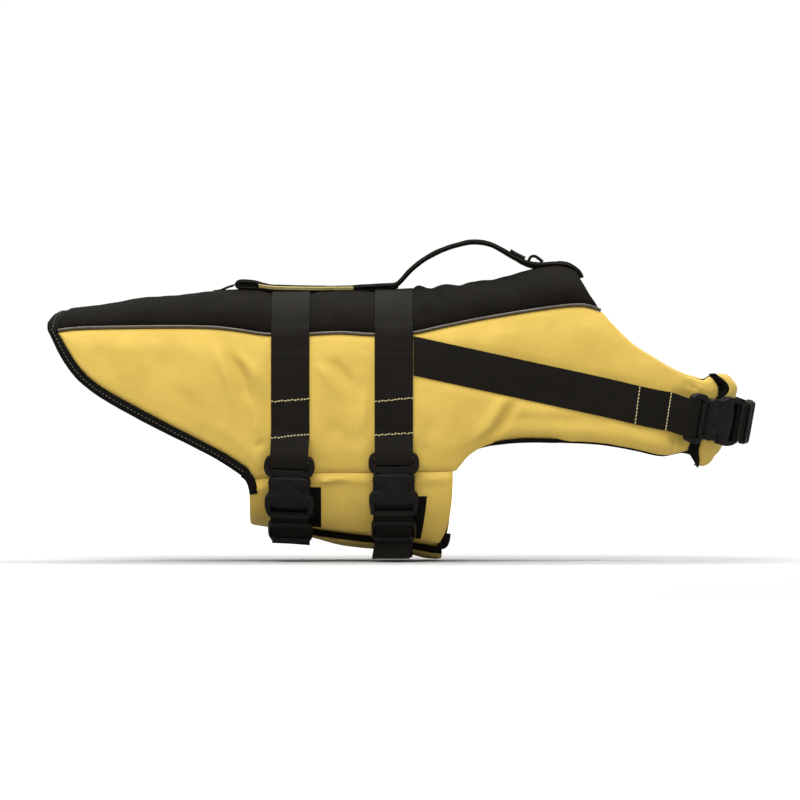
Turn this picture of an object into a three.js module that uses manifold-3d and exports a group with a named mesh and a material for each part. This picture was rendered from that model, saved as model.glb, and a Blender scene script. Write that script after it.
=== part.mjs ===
// Dog life jacket, filled out as it is worn: hollow, and open at the rear, the neck and the legs.
// Millimetres. +X runs to the head, -Y is the dog's right side with the buckles, +Z is up.
// The origin lies on the inner face of the back panel, at mid width, between the belly straps.
import * as THREE from "three";
import { mergeVertices } from "three/addons/utils/BufferGeometryUtils.js";
import Module from "manifold-3d";

// Walls, gaps and trims
const BACK_WALL = 8; // foam panel between two cloths
const SIDE_WALL = 5;
const FLAP_WALL = 4;
const SEAM_GAP = 0.35;
const LAP_GAP = 1; // between curved walls that lie one in the other
const PIPING_WIDTH = 2.6;
const PIPING_PROUD = 1.2;
const PIPING_EDGE = 0.3; // how far the piping's edges stand out
const BINDING_PROUD = 0.5;
const LEG_BINDING_WIDTH = 3;
const BELLY_BINDING_WIDTH = 9;
const BELLY_BINDING_WALL = 3.3;
const PATCH_THICK = 1;
const TAPE_WALL = 3;

// Webbing and its plastic hardware, for 40 mm webbing
const WEB_WIDTH = 40;
const WEB_THICK = 1.6;
const BUCKLE_LENGTH = 70;
const BUCKLE_WIDTH = 52;
const BUCKLE_THICK = 11;
const SLIDER_LENGTH = 26;
const SLIDER_WIDTH = 47;
const BAR_THICK = 3;

// The worn form: height of the spine and of the belly, and widest half width, at each station.
// Past NOSE_START a station is a length along the bow in which the two sides meet at the front.
const SECTIONS = [
  { at: -306, top: -16, bottom: -150, half: 56 },
  { at: -293, top: -13, bottom: -165, half: 60 },
  { at: -245, top: -5.7, bottom: -205, half: 68 },
  { at: -170, top: 3.8, bottom: -230, half: 78 },
  { at: -105, top: 9, bottom: -237, half: 86 },
  { at: -70, top: 7, bottom: -242, half: 90 },
  { at: -30, top: 7, bottom: -252, half: 93 },
  { at: 0, top: 8, bottom: -259, half: 94 },
  { at: 32, top: 8.5, bottom: -263.5, half: 95 },
  { at: 72, top: 9.5, bottom: -269.5, half: 94 },
  { at: 105, top: 13, bottom: -274.5, half: 91 },
  { at: 141, top: 17.5, bottom: -268, half: 86 },
  { at: 178, top: 24, bottom: -252, half: 80 },
  { at: 204, top: 31, bottom: -240, half: 76 },
  { at: 230, top: 33, bottom: -229, half: 73 },
  { at: 252, top: 26, bottom: -220, half: 70 },
  { at: 275, top: 12, bottom: -213, half: 68 },
  { at: 330, top: -12, bottom: -203, half: 68 },
  { at: 385, top: -32, bottom: -193, half: 68 },
  { at: 445, top: -45, bottom: -186, half: 68 },
  { at: 540, top: -45, bottom: -186, half: 68 },
];
const EGG = 0.12; // narrows the belly against the back
const BOXY = 0.08; // flattens the sides
const BOXY_TOP = 0.03; // flattens the back and the belly
const NOSE_START = 275;
const NOSE_LENGTH = 170; // along the bow, from NOSE_START to the middle of the chest

// How far forward the bow reaches at each height
const BOW = [
  { z: -185, x: 374 },
  { z: -178, x: 379 },
  { z: -169, x: 392 },
  { z: -155, x: 401 },
  { z: -128, x: 413 },
  { z: -100, x: 418 },
  { z: -90, x: 417 },
  { z: -78, x: 410 },
  { z: -60, x: 402 },
];

// Edges and seams as they show from the side
const PIPING_SEAM = [
  { x: -302, z: -34 },
  { x: -278, z: -31 },
  { x: -234, z: -29.8 },
  { x: -170, z: -29.3 },
  { x: -130, z: -30.3 },
  { x: -106, z: -33 },
  { x: -77, z: -37.2 },
  { x: -35, z: -37.2 },
  { x: 0, z: -35.7 },
  { x: 33, z: -37.5 },
  { x: 75, z: -36.1 },
  { x: 105, z: -29.8 },
  { x: 143, z: -21.9 },
  { x: 195, z: -13 },
  { x: 230, z: -8 },
  { x: 246, z: -6.6 },
  { x: 257, z: -6.8 },
  { x: 266, z: -8.8 },
  { x: 275, z: -12.4 },
];
const NECK_EDGE = [
  { x: 275, z: -12.4 },
  { x: 286, z: -25.6 },
  { x: 307, z: -46.6 },
  { x: 328, z: -60.3 },
  { x: 352, z: -72.9 },
  { x: 379, z: -81.3 },
  { x: 387, z: -83 },
  { x: 394, z: -79 },
  { x: 410, z: -78 },
  { x: 418, z: -82 },
];
const BELLY_SEAM = [
  { x: -96, z: -190.8 },
  { x: -25, z: -183.1 },
  { x: 34, z: -182.5 },
  { x: 119, z: -181 },
];
const LEG_EDGE = [
  { x: 119, z: -181 },
  { x: 125, z: -172.5 },
  { x: 133, z: -163 },
  { x: 144, z: -155.3 },
  { x: 155, z: -152 },
  { x: 174, z: -149 },
  { x: 199, z: -147.5 },
  { x: 236, z: -148.5 },
  { x: 274, z: -151 },
  { x: 311, z: -157.5 },
  { x: 338, z: -164.5 },
  { x: 352, z: -167 },
  { x: 371, z: -163 },
  { x: 400, z: -160 },
];
const BELLY_HEM = [
  { x: -96, z: -236 },
  { x: -73, z: -239.5 },
  { x: -21, z: -246.6 },
  { x: 21, z: -251.4 },
  { x: 58, z: -255.6 },
  { x: 84, z: -260.8 },
  { x: 106, z: -264 },
];
// The left side's front edge, which laps round the chest: station and height down the edge
const LAP_EDGE = [
  { down: 0, at: 496, tape: 9 },
  { down: 0.16, at: 481, tape: 8 },
  { down: 0.3, at: 505, tape: 8 },
  { down: 0.7, at: 510, tape: 12 },
  { down: 0.88, at: 494, tape: 9 },
  { down: 1, at: 462, tape: 2 },
];
const LAP_LOWER = [
  { at: 275, z: -151 },
  { at: 311, z: -156 },
  { at: 352, z: -160 },
  { at: 376, z: -163 },
  { at: 396, z: -168 },
  { at: 416, z: -174 },
  { at: 440, z: -178 },
  { at: 462, z: -178 },
  { at: 520, z: -176 },
];

// A bound edge: shares of its width from the outer edge to the cloth, and heights of both faces
const BOUND = [
  { across: 0, out: -1.6, in: -3.6 },
  { across: 0.16, out: 0, in: -5 },
  { across: 0.4, out: BINDING_PROUD, in: -5.4 },
  { across: 1, out: BINDING_PROUD, in: -5.4 },
];
const LEG_BOUND = [
  { out: -0.6, in: 0 },
  { out: -0.2, in: 0 },
  { out: -1.4, in: 0.8 },
];

// Where the panels end
const BACK_REAR = -282; // the back panel's cloth on the spine
const BACK_FRONT = 250;
const PIPING_FRONT = 264; // the piping ends short of the neck edge
const REAR_SWEEP = 13; // how far the sides reach behind the spine
const FRONT_SWEEP = 23; // and in front of it
const BINDING_REAR = -294; // the rear binding's outer edge on the spine
const BINDING_SWEEP = 11.5;
const SIDE_CORNER = -97; // the rear binding's lower end
const FLAP_SEAM_REAR = -90;
const LEG_START = 119;
const LEG_BINDING_START = 121;
const RIGHT_LEG_END = 372;
const LEFT_LEG_END = 456;
const TUCK_FROM = 322; // between these stations the right side dips under the left one
const TUCK_TO = 362;

// Belly flaps
const FLAP_REAR = -95;
const FLAP_FRONT = 118.5;
const FLAP_TAPER = 13;
const LEFT_LAP_REAR = -58; // the left flap's end is narrower than the right flap
const LEFT_LAP_SHARE = 0.95; // this much of the taper shows on it
const LEFT_TAPERED = 0.55; // reached at this share of its way round
const STEP_ABOVE = 14; // the right flap steps in this far above the hem
const STEP_LENGTH = 11;
const STEP_REAR_FROM = -78; // behind the left flap's corner it stays flush
const STEP_REAR_TO = -62;
const UNDERLAP = 20; // how far the right flap runs on inside the left one
const PATCH_ABOVE_HEM = 15;

// Patches of loop tape on the right flap, behind the buckles
const PATCHES = [
  { name: "patch_rear", from: -68, to: -19.5, taper: 0, top: -197.5 },
  { name: "patch_front", from: 35, to: 91.5, taper: 7, top: -207 },
];

// Belly straps: each buckle's middle, the height where the web leaves it, and its free tail
const BELLY_BUCKLES = [
  { place: "rear", x: -51.5, z: -194.5, leave: -140, tail: 4, sag: 0.5 },
  { place: "front", x: 56.5, z: -192.5, leave: -140, tail: 17, sag: 0.15 },
];
const LINK_TIP = 0.36; // how much the slider tips in under the belly, in radians
const LINK_LENGTH = 17;
const BELLY_LEAVE = 0.93; // share of the half turn at which the web leaves the belly
const OVER_PANEL = SEAM_GAP + 0.15 + WEB_THICK / 2;
const RIDE_FLAT = 4.5; // a web stays raised this far each side of the piping
const RIDE_END = 11;
const RIDE_BINDING_FROM = 2.9; // and between these turns for the belly binding
const RIDE_BINDING_TO = 3.1;

// The slanting chest straps: upper and lower edge of the web, seen from the side
const CHEST_WEB = [
  { x: 77, top: -40.2, bottom: -81 },
  { x: 176, top: -61.4, bottom: -102.3 },
  { x: 273, top: -82.2, bottom: -123.3 },
  { x: 345, top: -98, bottom: -139 },
  { x: 400, top: -102, bottom: -142 },
  { x: 420, top: -101, bottom: -141 },
];
const CHEST_FROM = 77;
const CHEST_BUCKLE = { at: 378, z: -126, lean: -0.04 };
const CHEST_KEEPER = { down: 51, in: 9, tip: 0.8 };
const CHEST_OUT = 2 * SEAM_GAP + PATCH_THICK + BUCKLE_THICK / 2;

// The middle of the handle's thickness from its folded rear end, along the back, over the grip
const HANDLE_WIDTH = 38;
const HANDLE_THICK = 4.2;
const HANDLE_PATH = [
  { x: -88, z: 12 },
  { x: -100, z: 12.1 },
  { x: -106.8, z: 12.9 },
  { x: -109.6, z: 15.3 },
  { x: -106.5, z: 18 },
  { x: -99, z: 18.2 },
  { x: -90, z: 17.4 },
  { x: -82, z: 15 },
  { x: -72, z: 13 },
  { x: -50, z: 12.4 },
  { x: -20, z: 11.8 },
  { x: 8, z: 12 },
  { x: 32, z: 13.6 },
  { x: 50, z: 14.4 },
  { x: 59, z: 15.4 },
  { x: 65, z: 20.6 },
  { x: 72.5, z: 29 },
  { x: 84, z: 39 },
  { x: 96.6, z: 46.9 },
  { x: 109, z: 52.6 },
  { x: 122, z: 57 },
  { x: 136, z: 60.2 },
  { x: 149, z: 60.2 },
  { x: 161, z: 57 },
  { x: 171, z: 51.8 },
  { x: 181, z: 45.8 },
  { x: 190, z: 41.1 },
  { x: 200, z: 37.6 },
  { x: 211, z: 36.6 },
  { x: 222, z: 37.2 },
  { x: 233, z: 37.1 },
  { x: 242, z: 35.4 },
  { x: 249, z: 31.8 },
  { x: 254, z: 26.6 },
  { x: 255.6, z: 21 },
];
const RING_WEB = [
  { x: 197.5, z: 41.6 },
  { x: 199.2, z: 45.2 },
  { x: 203, z: 46.6 },
  { x: 208, z: 44 },
  { x: 212.4, z: 40.2 },
];
const FRONT_TAB = [
  { x: 176.5, z: 52.7 },
  { x: 182.7, z: 49.1 },
  { x: 192, z: 44.3 },
];
const REAR_TAB = [
  { x: -134, z: 8.5 },
  { x: -127, z: 9.4 },
  { x: -119, z: 12.8 },
  { x: -112.6, z: 14.8 },
];

const COLOURS = {
  black: 0x2a2620,
  yellow: 0xddbf5a,
  grey: 0x6e655a,
  webbing: 0x211e1a,
  plastic: 0x211f1c,
};

const clamp = THREE.MathUtils.clamp;
const smooth = (at, from, to) => THREE.MathUtils.smoothstep(at, from, to);

// A smooth line through the rows of a table, flat past its ends.
function through(rows, from, to) {
  const slopes = rows.map((row, i) => {
    const before = rows[Math.max(i - 1, 0)];
    const after = rows[Math.min(i + 1, rows.length - 1)];
    return (after[to] - before[to]) / (after[from] - before[from]);
  });
  return (at) => {
    let i = 1;
    while (i < rows.length - 1 && at > rows[i][from]) i += 1;
    const span = rows[i][from] - rows[i - 1][from];
    const t = clamp((at - rows[i - 1][from]) / span, 0, 1);
    const leave = slopes[i - 1] * span * t * (1 - t) * (1 - t);
    const arrive = slopes[i] * span * t * t * (1 - t);
    const blend = t * t * (3 - 2 * t);
    return THREE.MathUtils.lerp(rows[i - 1][to], rows[i][to], blend) + leave - arrive;
  };
}

const topAt = through(SECTIONS, "at", "top");
const bottomAt = through(SECTIONS, "at", "bottom");
const halfAt = through(SECTIONS, "at", "half");
const bowAt = through(BOW, "z", "x");
const pipingAt = through(PIPING_SEAM, "x", "z");
const neckAt = through(NECK_EDGE, "x", "z");
const bellySeamAt = through(BELLY_SEAM, "x", "z");
const legAt = through(LEG_EDGE, "x", "z");
const hemAt = through(BELLY_HEM, "x", "z");
const lapAt = through(LAP_EDGE, "down", "at");
const tapeAt = through(LAP_EDGE, "down", "tape");
const lapLowerAt = through(LAP_LOWER, "at", "z");

// Height on the section at a station; turn is 0 at the spine and PI at the belly.
function heightAt(at, turn) {
  const middle = (topAt(at) + bottomAt(at)) / 2;
  const reach = (topAt(at) - bottomAt(at)) / 2;
  return middle + (reach * (Math.cos(turn) - BOXY_TOP * Math.cos(3 * turn))) / (1 - BOXY_TOP);
}

// The turn at which the section reaches a height.
function turnAt(at, z) {
  let low = 0;
  let high = Math.PI;
  for (let i = 0; i < 40; i += 1) {
    const turn = (low + high) / 2;
    if (heightAt(at, turn) > z) low = turn;
    else high = turn;
  }
  return low;
}

const bowTurn = (at) => (Math.max(at - NOSE_START, 0) / NOSE_LENGTH) * (Math.PI / 2);

function forwardAt(at, z) {
  if (at < NOSE_START) return at;
  return NOSE_START + (bowAt(z) - NOSE_START) * Math.sin(bowTurn(at));
}

// A point of the outer face: turns above 0 are on the right side, below 0 on the left.
function facePoint(at, turn) {
  const round = (Math.sin(turn) + BOXY * Math.sin(3 * turn)) / (1 - BOXY);
  const wide = halfAt(at) * round * (1 + EGG * Math.cos(turn)) * Math.cos(bowTurn(at));
  const z = heightAt(at, turn);
  return new THREE.Vector3(forwardAt(at, z), -wide, z);
}

// The outward normal of the outer face.
function faceNormal(at, turn) {
  const step = 0.004;
  const along = facePoint(at + 1, turn).sub(facePoint(at - 1, turn));
  const across = facePoint(at, turn + step).sub(facePoint(at, turn - step));
  return across.cross(along).normalize();
}

// A point that stands out from the outer face by a distance, or in from it where that is negative.
function raised(at, turn, out) {
  return facePoint(at, turn).addScaledVector(faceNormal(at, turn), out);
}

// The turn where a line seen from the side meets the section at a station.
function turnOnLine(at, line) {
  let z = line(at);
  for (let i = 0; i < 12; i += 1) z = line(forwardAt(at, z));
  return turnAt(at, z);
}

// The change of turn that covers a distance on the section.
function turnFor(at, turn, distance) {
  const step = 0.01;
  const length = facePoint(at, turn + step).distanceTo(facePoint(at, turn - step));
  return (distance * 2 * step) / length;
}

const LEAST_SLANT = 0.4; // bounds the change of turn where a line runs steeply

// The change of turn that clears a line by a distance, measured square to the line.
function beside(at, turn, line, distance) {
  const before = facePoint(at - 2, turnOnLine(at - 2, line));
  const after = facePoint(at + 2, turnOnLine(at + 2, line));
  const run = after.sub(before).normalize();
  const along = facePoint(at + 1, turn).sub(facePoint(at - 1, turn)).normalize();
  return turnFor(at, turn, distance / Math.max(Math.abs(run.dot(along)), LEAST_SLANT));
}

// A closed wall from rows of outer and inner points; a loop joins its last row to its first.
function wall(rows, loop = false) {
  const count = rows[0].outer.length;
  const ring = 2 * count;
  const positions = [];
  for (const row of rows) {
    for (const point of row.outer) positions.push(point.x, point.y, point.z);
    for (const point of [...row.inner].reverse()) positions.push(point.x, point.y, point.z);
  }
  const index = [];
  const quad = (a, b, c, d) => index.push(a, b, c, a, c, d);
  const spans = loop ? rows.length : rows.length - 1;
  for (let i = 0; i < spans; i += 1) {
    const here = i * ring;
    const next = ((i + 1) % rows.length) * ring;
    for (let j = 0; j < ring; j += 1) {
      const k = (j + 1) % ring;
      quad(here + j, here + k, next + k, next + j);
    }
  }
  if (!loop) {
    const last = (rows.length - 1) * ring;
    for (let j = 0; j < count - 1; j += 1) {
      quad(ring - 1 - j, ring - 2 - j, j + 1, j);
      quad(last + j, last + j + 1, last + ring - 2 - j, last + ring - 1 - j);
    }
  }
  const geometry = new THREE.BufferGeometry();
  geometry.setAttribute("position", new THREE.Float32BufferAttribute(positions, 3));
  geometry.setIndex(index);
  return facingOut(geometry);
}

// Turns every face round when the volume that they close is negative.
function facingOut(geometry) {
  const p = geometry.attributes.position;
  const corners = [new THREE.Vector3(), new THREE.Vector3(), new THREE.Vector3()];
  const index = geometry.index.array;
  let volume = 0;
  for (let i = 0; i < index.length; i += 3) {
    corners.forEach((corner, k) => corner.fromBufferAttribute(p, index[i + k]));
    volume += corners[0].dot(corners[1].clone().cross(corners[2]));
  }
  if (volume < 0) {
    for (let i = 0; i < index.length; i += 3) {
      [index[i + 1], index[i + 2]] = [index[i + 2], index[i + 1]];
    }
  }
  return geometry;
}

const jacket = new THREE.Group();

function add(name, geometry, colour, roughness = 0.85) {
  const material = new THREE.MeshStandardMaterial({ color: colour, roughness, metalness: 0 });
  const mesh = new THREE.Mesh(geometry, material);
  mesh.name = name;
  jacket.add(mesh);
  return mesh;
}

const SIDES = [
  { name: "right", sign: 1 },
  { name: "left", sign: -1 },
];

const spread = (count, from = 0, to = 1) =>
  Array.from({ length: count + 1 }, (_, i) => from + ((to - from) * i) / count);

// Panels

// The rear binding's outer edge, and the line inside it where the binding meets the cloth.
const REAR_BINDING = [
  { x: -305.5, z: -31, inX: -298, inZ: -34.5 },
  { x: -303, z: -40.3, inX: -294, inZ: -39 },
  { x: -296, z: -56, inX: -287, inZ: -52 },
  { x: -285, z: -73.9, inX: -276.5, inZ: -68.5 },
  { x: -272, z: -88.6, inX: -265, inZ: -81.5 },
  { x: -251, z: -104.4, inX: -247, inZ: -95 },
  { x: -218, z: -123.3, inX: -214, inZ: -113.5 },
  { x: -187, z: -139.5, inX: -183, inZ: -130 },
  { x: -154, z: -155.8, inX: -150, inZ: -147 },
  { x: -125, z: -171.6, inX: -120, inZ: -163 },
  { x: -103, z: -186.5, inX: -97, inZ: -178 },
];
const rearInnerAt = through(REAR_BINDING, "inX", "inZ");
const BINDING_ROWS = REAR_BINDING.map((row, i) => ({ ...row, row: i }));
const bindingLine = Object.fromEntries(
  ["x", "z", "inX"].map((column) => [column, through(BINDING_ROWS, "row", column)]),
);

function upperEdge(x) {
  return x < NOSE_START ? pipingAt(x) : neckAt(x);
}

function lowerEdge(x) {
  if (x < SIDE_CORNER) return rearInnerAt(x);
  if (x < FLAP_SEAM_REAR) {
    const share = (x - SIDE_CORNER) / (FLAP_SEAM_REAR - SIDE_CORNER);
    return THREE.MathUtils.lerp(rearInnerAt(SIDE_CORNER), bellySeamAt(FLAP_SEAM_REAR), share);
  }
  return x < LEG_START ? bellySeamAt(x) : legAt(x);
}

const SIDE_STATIONS = [
  -296, -293, -288, -281, -272, -262, -250, -234, -214, -192, -170, -150, -130, -112, -97, -90, -76,
  -52, -30, -8, 14, 36, 58, 80, 100, 114, 119, 124, 130, 138, 150, 166, 186, 208, 230, 250, 264, 275,
  290, 306, 324, 342, 358, 372, 384, 396,
];
const LAP_STATIONS = [408, 420, 432, 444, 456, 468, 480, 492, 504, 512];
const ACROSS_SIDE = spread(8);

// One station of a side: the turns of its upper and lower edges.
function sideTurns(at, side) {
  const upper = turnOnLine(at, upperEdge);
  let lower = turnOnLine(at, lowerEdge);
  if (side.name === "left" && at > NOSE_START) lower = turnAt(at, lapLowerAt(at));
  if (at >= NOSE_START) return { upper, lower };
  return { upper: upper + beside(at, upper, pipingAt, PIPING_WIDTH / 2 + SEAM_GAP), lower };
}

// How far a side's outer face lies in from the form: the right side tucks under the left one.
function tuckAt(at, side) {
  return side.name === "right" ? (SIDE_WALL + LAP_GAP) * smooth(at, TUCK_FROM, TUCK_TO) : 0;
}

function sidePanel(side) {
  const stations = side.name === "left" ? [...SIDE_STATIONS, ...LAP_STATIONS] : SIDE_STATIONS;
  const rows = stations.map((station) => {
    const outer = [];
    const inner = [];
    for (const down of ACROSS_SIDE) {
      const lapStart = SIDE_STATIONS.at(-1);
      const lapped = Math.max(station - lapStart, 0) / (LAP_STATIONS.at(-1) - lapStart);
      const at = Math.min(station, lapStart) + lapped * (lapAt(down) - lapStart);
      const { upper, lower } = sideTurns(at, side);
      const turn = side.sign * THREE.MathUtils.lerp(upper, lower, down);
      const tuck = tuckAt(at, side);
      outer.push(raised(at, turn, -tuck));
      inner.push(raised(at, turn, -tuck - SIDE_WALL));
    }
    return { outer, inner };
  });
  return wall(rows);
}

// The turn of the back panel's side edges.
function backLimit(at) {
  const edge = turnOnLine(at, pipingAt);
  return edge - beside(at, edge, pipingAt, PIPING_WIDTH / 2 + SEAM_GAP + 0.15);
}

// How far back the cloth of the back panel reaches at a turn.
const REAR_LIMIT = backLimit(BACK_REAR - REAR_SWEEP);
function backRearAt(turn) {
  return BACK_REAR - REAR_SWEEP * Math.min(Math.abs(turn) / REAR_LIMIT, 1.1) ** 2;
}

function backPanel() {
  const lengths = [...spread(34, 0, 0.91), ...spread(6, 0.925, 1)];
  const rows = lengths.map((along) => {
    const outer = [];
    const inner = [];
    for (const across of spread(10, -1, 1)) {
      const aside = Math.abs(across);
      const to = BACK_FRONT + FRONT_SWEEP * aside ** 1.6;
      const at = THREE.MathUtils.lerp(backRearAt(across * REAR_LIMIT), to, along);
      const limit = backLimit(at);
      outer.push(raised(at, across * limit, 0));
      inner.push(raised(at, across * limit, -BACK_WALL));
    }
    return { outer, inner };
  });
  return wall(rows);
}

function piping(side) {
  const rows = SIDE_STATIONS.filter((at) => at <= PIPING_FRONT).map((at) => {
    const middle = turnOnLine(at, pipingAt);
    const half = beside(at, middle, pipingAt, PIPING_WIDTH / 2);
    const turns = [middle - half, middle, middle + half].map((turn) => side.sign * turn);
    const outer = turns.map((turn, i) => raised(at, turn, i === 1 ? PIPING_PROUD : PIPING_EDGE));
    const inner = turns.map((turn) => raised(at, turn, -SIDE_WALL / 2));
    return { outer, inner };
  });
  return wall(rows);
}

function rearBinding() {
  const last = REAR_BINDING.length - 1;
  const path = [];
  const sideRows = spread(26, last, 0);
  const place = (row, sign) => {
    const x = bindingLine.x(row);
    const inX = bindingLine.inX(row);
    const inZ = rearInnerAt(inX) - SEAM_GAP - 0.15;
    return {
      out: [x, sign * turnAt(x, bindingLine.z(row))],
      in: [inX, sign * turnAt(inX, inZ)],
    };
  };
  sideRows.forEach((row) => path.push(place(row, 1)));
  const tip = place(0, 1);
  for (const across of spread(10, 1, -1).slice(1, -1)) {
    path.push({
      out: [BINDING_REAR - BINDING_SWEEP * across ** 2, across * tip.out[1]],
      in: [backRearAt(across * tip.in[1]) - 2 * SEAM_GAP, across * tip.in[1]],
    });
  }
  [...sideRows].reverse().forEach((row) => path.push(place(row, -1)));
  const rows = path.map((step) => {
    const points = (height) =>
      BOUND.map((row) => {
        const at = THREE.MathUtils.lerp(step.out[0], step.in[0], row.across);
        const turn = THREE.MathUtils.lerp(step.out[1], step.in[1], row.across);
        return raised(at, turn, row[height]);
      });
    return { outer: points("out"), inner: points("in") };
  });
  return wall(rows);
}

// The lining's bound edge along the leg openings.
function legBinding(side) {
  const to = side.name === "left" ? LEFT_LEG_END : RIGHT_LEG_END;
  const stations = [...SIDE_STATIONS, ...LAP_STATIONS];
  const between = stations.filter((at) => at > LEG_BINDING_START && at <= to);
  const rows = [LEG_BINDING_START, ...between].map((at) => {
    const { lower } = sideTurns(at, side);
    const line = side.name === "left" && at > NOSE_START ? lapLowerAt : legAt;
    const near = lower + beside(at, lower, line, SEAM_GAP);
    const far = lower + beside(at, lower, line, SEAM_GAP + LEG_BINDING_WIDTH);
    const turns = [near, (near + far) / 2, far].map((turn) => side.sign * turn);
    const tuck = tuckAt(at, side);
    const outer = turns.map((turn, i) => raised(at, turn, LEG_BOUND[i].out - tuck));
    const inner = turns.map((turn, i) => raised(at, turn, LEG_BOUND[i].in - SIDE_WALL - tuck));
    return { outer, inner };
  });
  return wall(rows);
}

// Belly flaps

const FLAP_STATIONS = spread(12);

// The flaps' front edge, which slants back towards the hem.
function flapFront(down) {
  return FLAP_FRONT - FLAP_TAPER * down ** 2.2;
}

// The right flap hangs from its seam, steps in above the hem and runs on inside the left flap.
function rightFlap() {
  const rows = FLAP_STATIONS.map((along) => {
    const outer = [];
    const inner = [];
    const column = (down, extra) => {
      const at = THREE.MathUtils.lerp(FLAP_REAR, flapFront(down), along);
      const seam = turnOnLine(at, bellySeamAt);
      const hem = turnAt(at, hemAt(at));
      const start = seam + turnFor(at, seam, SEAM_GAP);
      const step = hem - turnFor(at, hem, STEP_ABOVE);
      const turn = THREE.MathUtils.lerp(start, step, down) + turnFor(at, hem, extra);
      const lapped = smooth(extra, 0, STEP_LENGTH) * smooth(at, STEP_REAR_FROM, STEP_REAR_TO);
      const out = -lapped * (FLAP_WALL + LAP_GAP);
      outer.push(raised(at, turn, out));
      inner.push(raised(at, turn, out - FLAP_WALL));
    };
    spread(5).forEach((down) => column(down, 0));
    const last = STEP_ABOVE + UNDERLAP;
    [4, 8, 12, last - UNDERLAP / 2, last].forEach((extra) => column(1, extra));
    return { outer, inner };
  });
  return wall(rows);
}

// The left flap runs from its seam, under the belly, to the right flap's hem line.
function leftFlap() {
  const rows = FLAP_STATIONS.map((along) => {
    const outer = [];
    const inner = [];
    for (const round of spread(14)) {
      const rear = THREE.MathUtils.lerp(FLAP_REAR, LEFT_LAP_REAR, round ** 1.5);
      const tapered = LEFT_LAP_SHARE * Math.min(round / LEFT_TAPERED, 1);
      const at = THREE.MathUtils.lerp(rear, flapFront(tapered), along);
      const seam = turnOnLine(at, bellySeamAt);
      const hem = turnAt(at, hemAt(at));
      const start = seam + turnFor(at, seam, SEAM_GAP);
      const end = 2 * Math.PI - hem - turnFor(at, hem, BELLY_BINDING_WIDTH + SEAM_GAP);
      const turn = -THREE.MathUtils.lerp(start, end, round);
      outer.push(raised(at, turn, 0));
      inner.push(raised(at, turn, -FLAP_WALL));
    }
    return { outer, inner };
  });
  return wall(rows);
}

// The bound edge of the left flap, over the right flap's hem.
function bellyBinding() {
  const rows = FLAP_STATIONS.map((along) => {
    const at = THREE.MathUtils.lerp(LEFT_LAP_REAR, flapFront(LEFT_LAP_SHARE), along);
    const hem = turnAt(at, hemAt(at));
    const turns = BOUND.map((row) => hem + turnFor(at, hem, row.across * BELLY_BINDING_WIDTH));
    const outer = turns.map((turn, i) => raised(at, turn, BOUND[i].out));
    const inner = turns.map((turn) => raised(at, turn, -BELLY_BINDING_WALL));
    return { outer, inner };
  });
  return wall(rows);
}

function patch(row) {
  const rows = spread(4).map((along) => {
    const outer = [];
    const inner = [];
    for (const down of spread(5)) {
      const at = THREE.MathUtils.lerp(row.from, row.to - row.taper * down, along);
      const hem = turnAt(at, hemAt(at));
      const end = hem - turnFor(at, hem, PATCH_ABOVE_HEM);
      const turn = THREE.MathUtils.lerp(turnAt(at, row.top), end, down);
      outer.push(raised(at, turn, SEAM_GAP + PATCH_THICK));
      inner.push(raised(at, turn, SEAM_GAP));
    }
    return { outer, inner };
  });
  return wall(rows);
}

// Webbing and buckles

const wasm = await Module();
wasm.setup();

function solidOf(geometry) {
  const plain = geometry.clone();
  plain.deleteAttribute("normal");
  plain.deleteAttribute("uv");
  const merged = mergeVertices(plain, 1e-4);
  const vertProperties = merged.attributes.position.array;
  const triVerts = new Uint32Array(merged.index.array);
  return new wasm.Manifold(new wasm.Mesh({ numProp: 3, vertProperties, triVerts }));
}

// Joins closed geometries that overlap into one.
function joined(geometries) {
  const solid = geometries.map(solidOf).reduce((a, b) => a.add(b));
  const mesh = solid.getMesh();
  const geometry = new THREE.BufferGeometry();
  geometry.setAttribute("position", new THREE.BufferAttribute(mesh.vertProperties, 3));
  geometry.setIndex(new THREE.BufferAttribute(mesh.triVerts, 1));
  return geometry;
}

// A flat frame in space: u runs across the web, v along it to its sewn end, n outwards.
function frameOf(origin, v, n) {
  const across = new THREE.Vector3().crossVectors(v, n).normalize();
  const along = new THREE.Vector3().crossVectors(n, across).normalize();
  return { origin, u: across, v: along, n: n.clone().normalize() };
}

const at3 = (frame, u, v, n) =>
  frame.origin
    .clone()
    .addScaledVector(frame.u, u)
    .addScaledVector(frame.v, v)
    .addScaledVector(frame.n, n);

// A frame moved along itself and tipped about its u axis.
function stepped(frame, u, v, n, tip) {
  const turned = (axis) => axis.clone().applyAxisAngle(frame.u, tip);
  return { origin: at3(frame, u, v, n), u: frame.u, v: turned(frame.v), n: turned(frame.n) };
}

function placed(mesh, frame) {
  mesh.quaternion.setFromRotationMatrix(new THREE.Matrix4().makeBasis(frame.u, frame.v, frame.n));
  mesh.position.copy(frame.origin);
  return mesh;
}

// A web along a path: each step of the path gives the point at a distance across the web.
function ribbon(path, width, thick, columns = 2) {
  const sides = spread(columns, -width / 2, width / 2);
  const lines = sides.map((u) => path.map((step) => step(u)));
  const across = path.map((_, i) => lines.at(-1)[i].clone().sub(lines[0][i]).normalize());
  const rows = path.map((_, i) => {
    const outer = [];
    const inner = [];
    for (const line of lines) {
      const next = line[Math.min(i + 1, line.length - 1)];
      const run = next.clone().sub(line[Math.max(i - 1, 0)]);
      const out = new THREE.Vector3().crossVectors(across[i], run).setLength(thick / 2);
      outer.push(line[i].clone().add(out));
      inner.push(line[i].clone().sub(out));
    }
    return { outer, inner };
  });
  return wall(rows);
}

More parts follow.
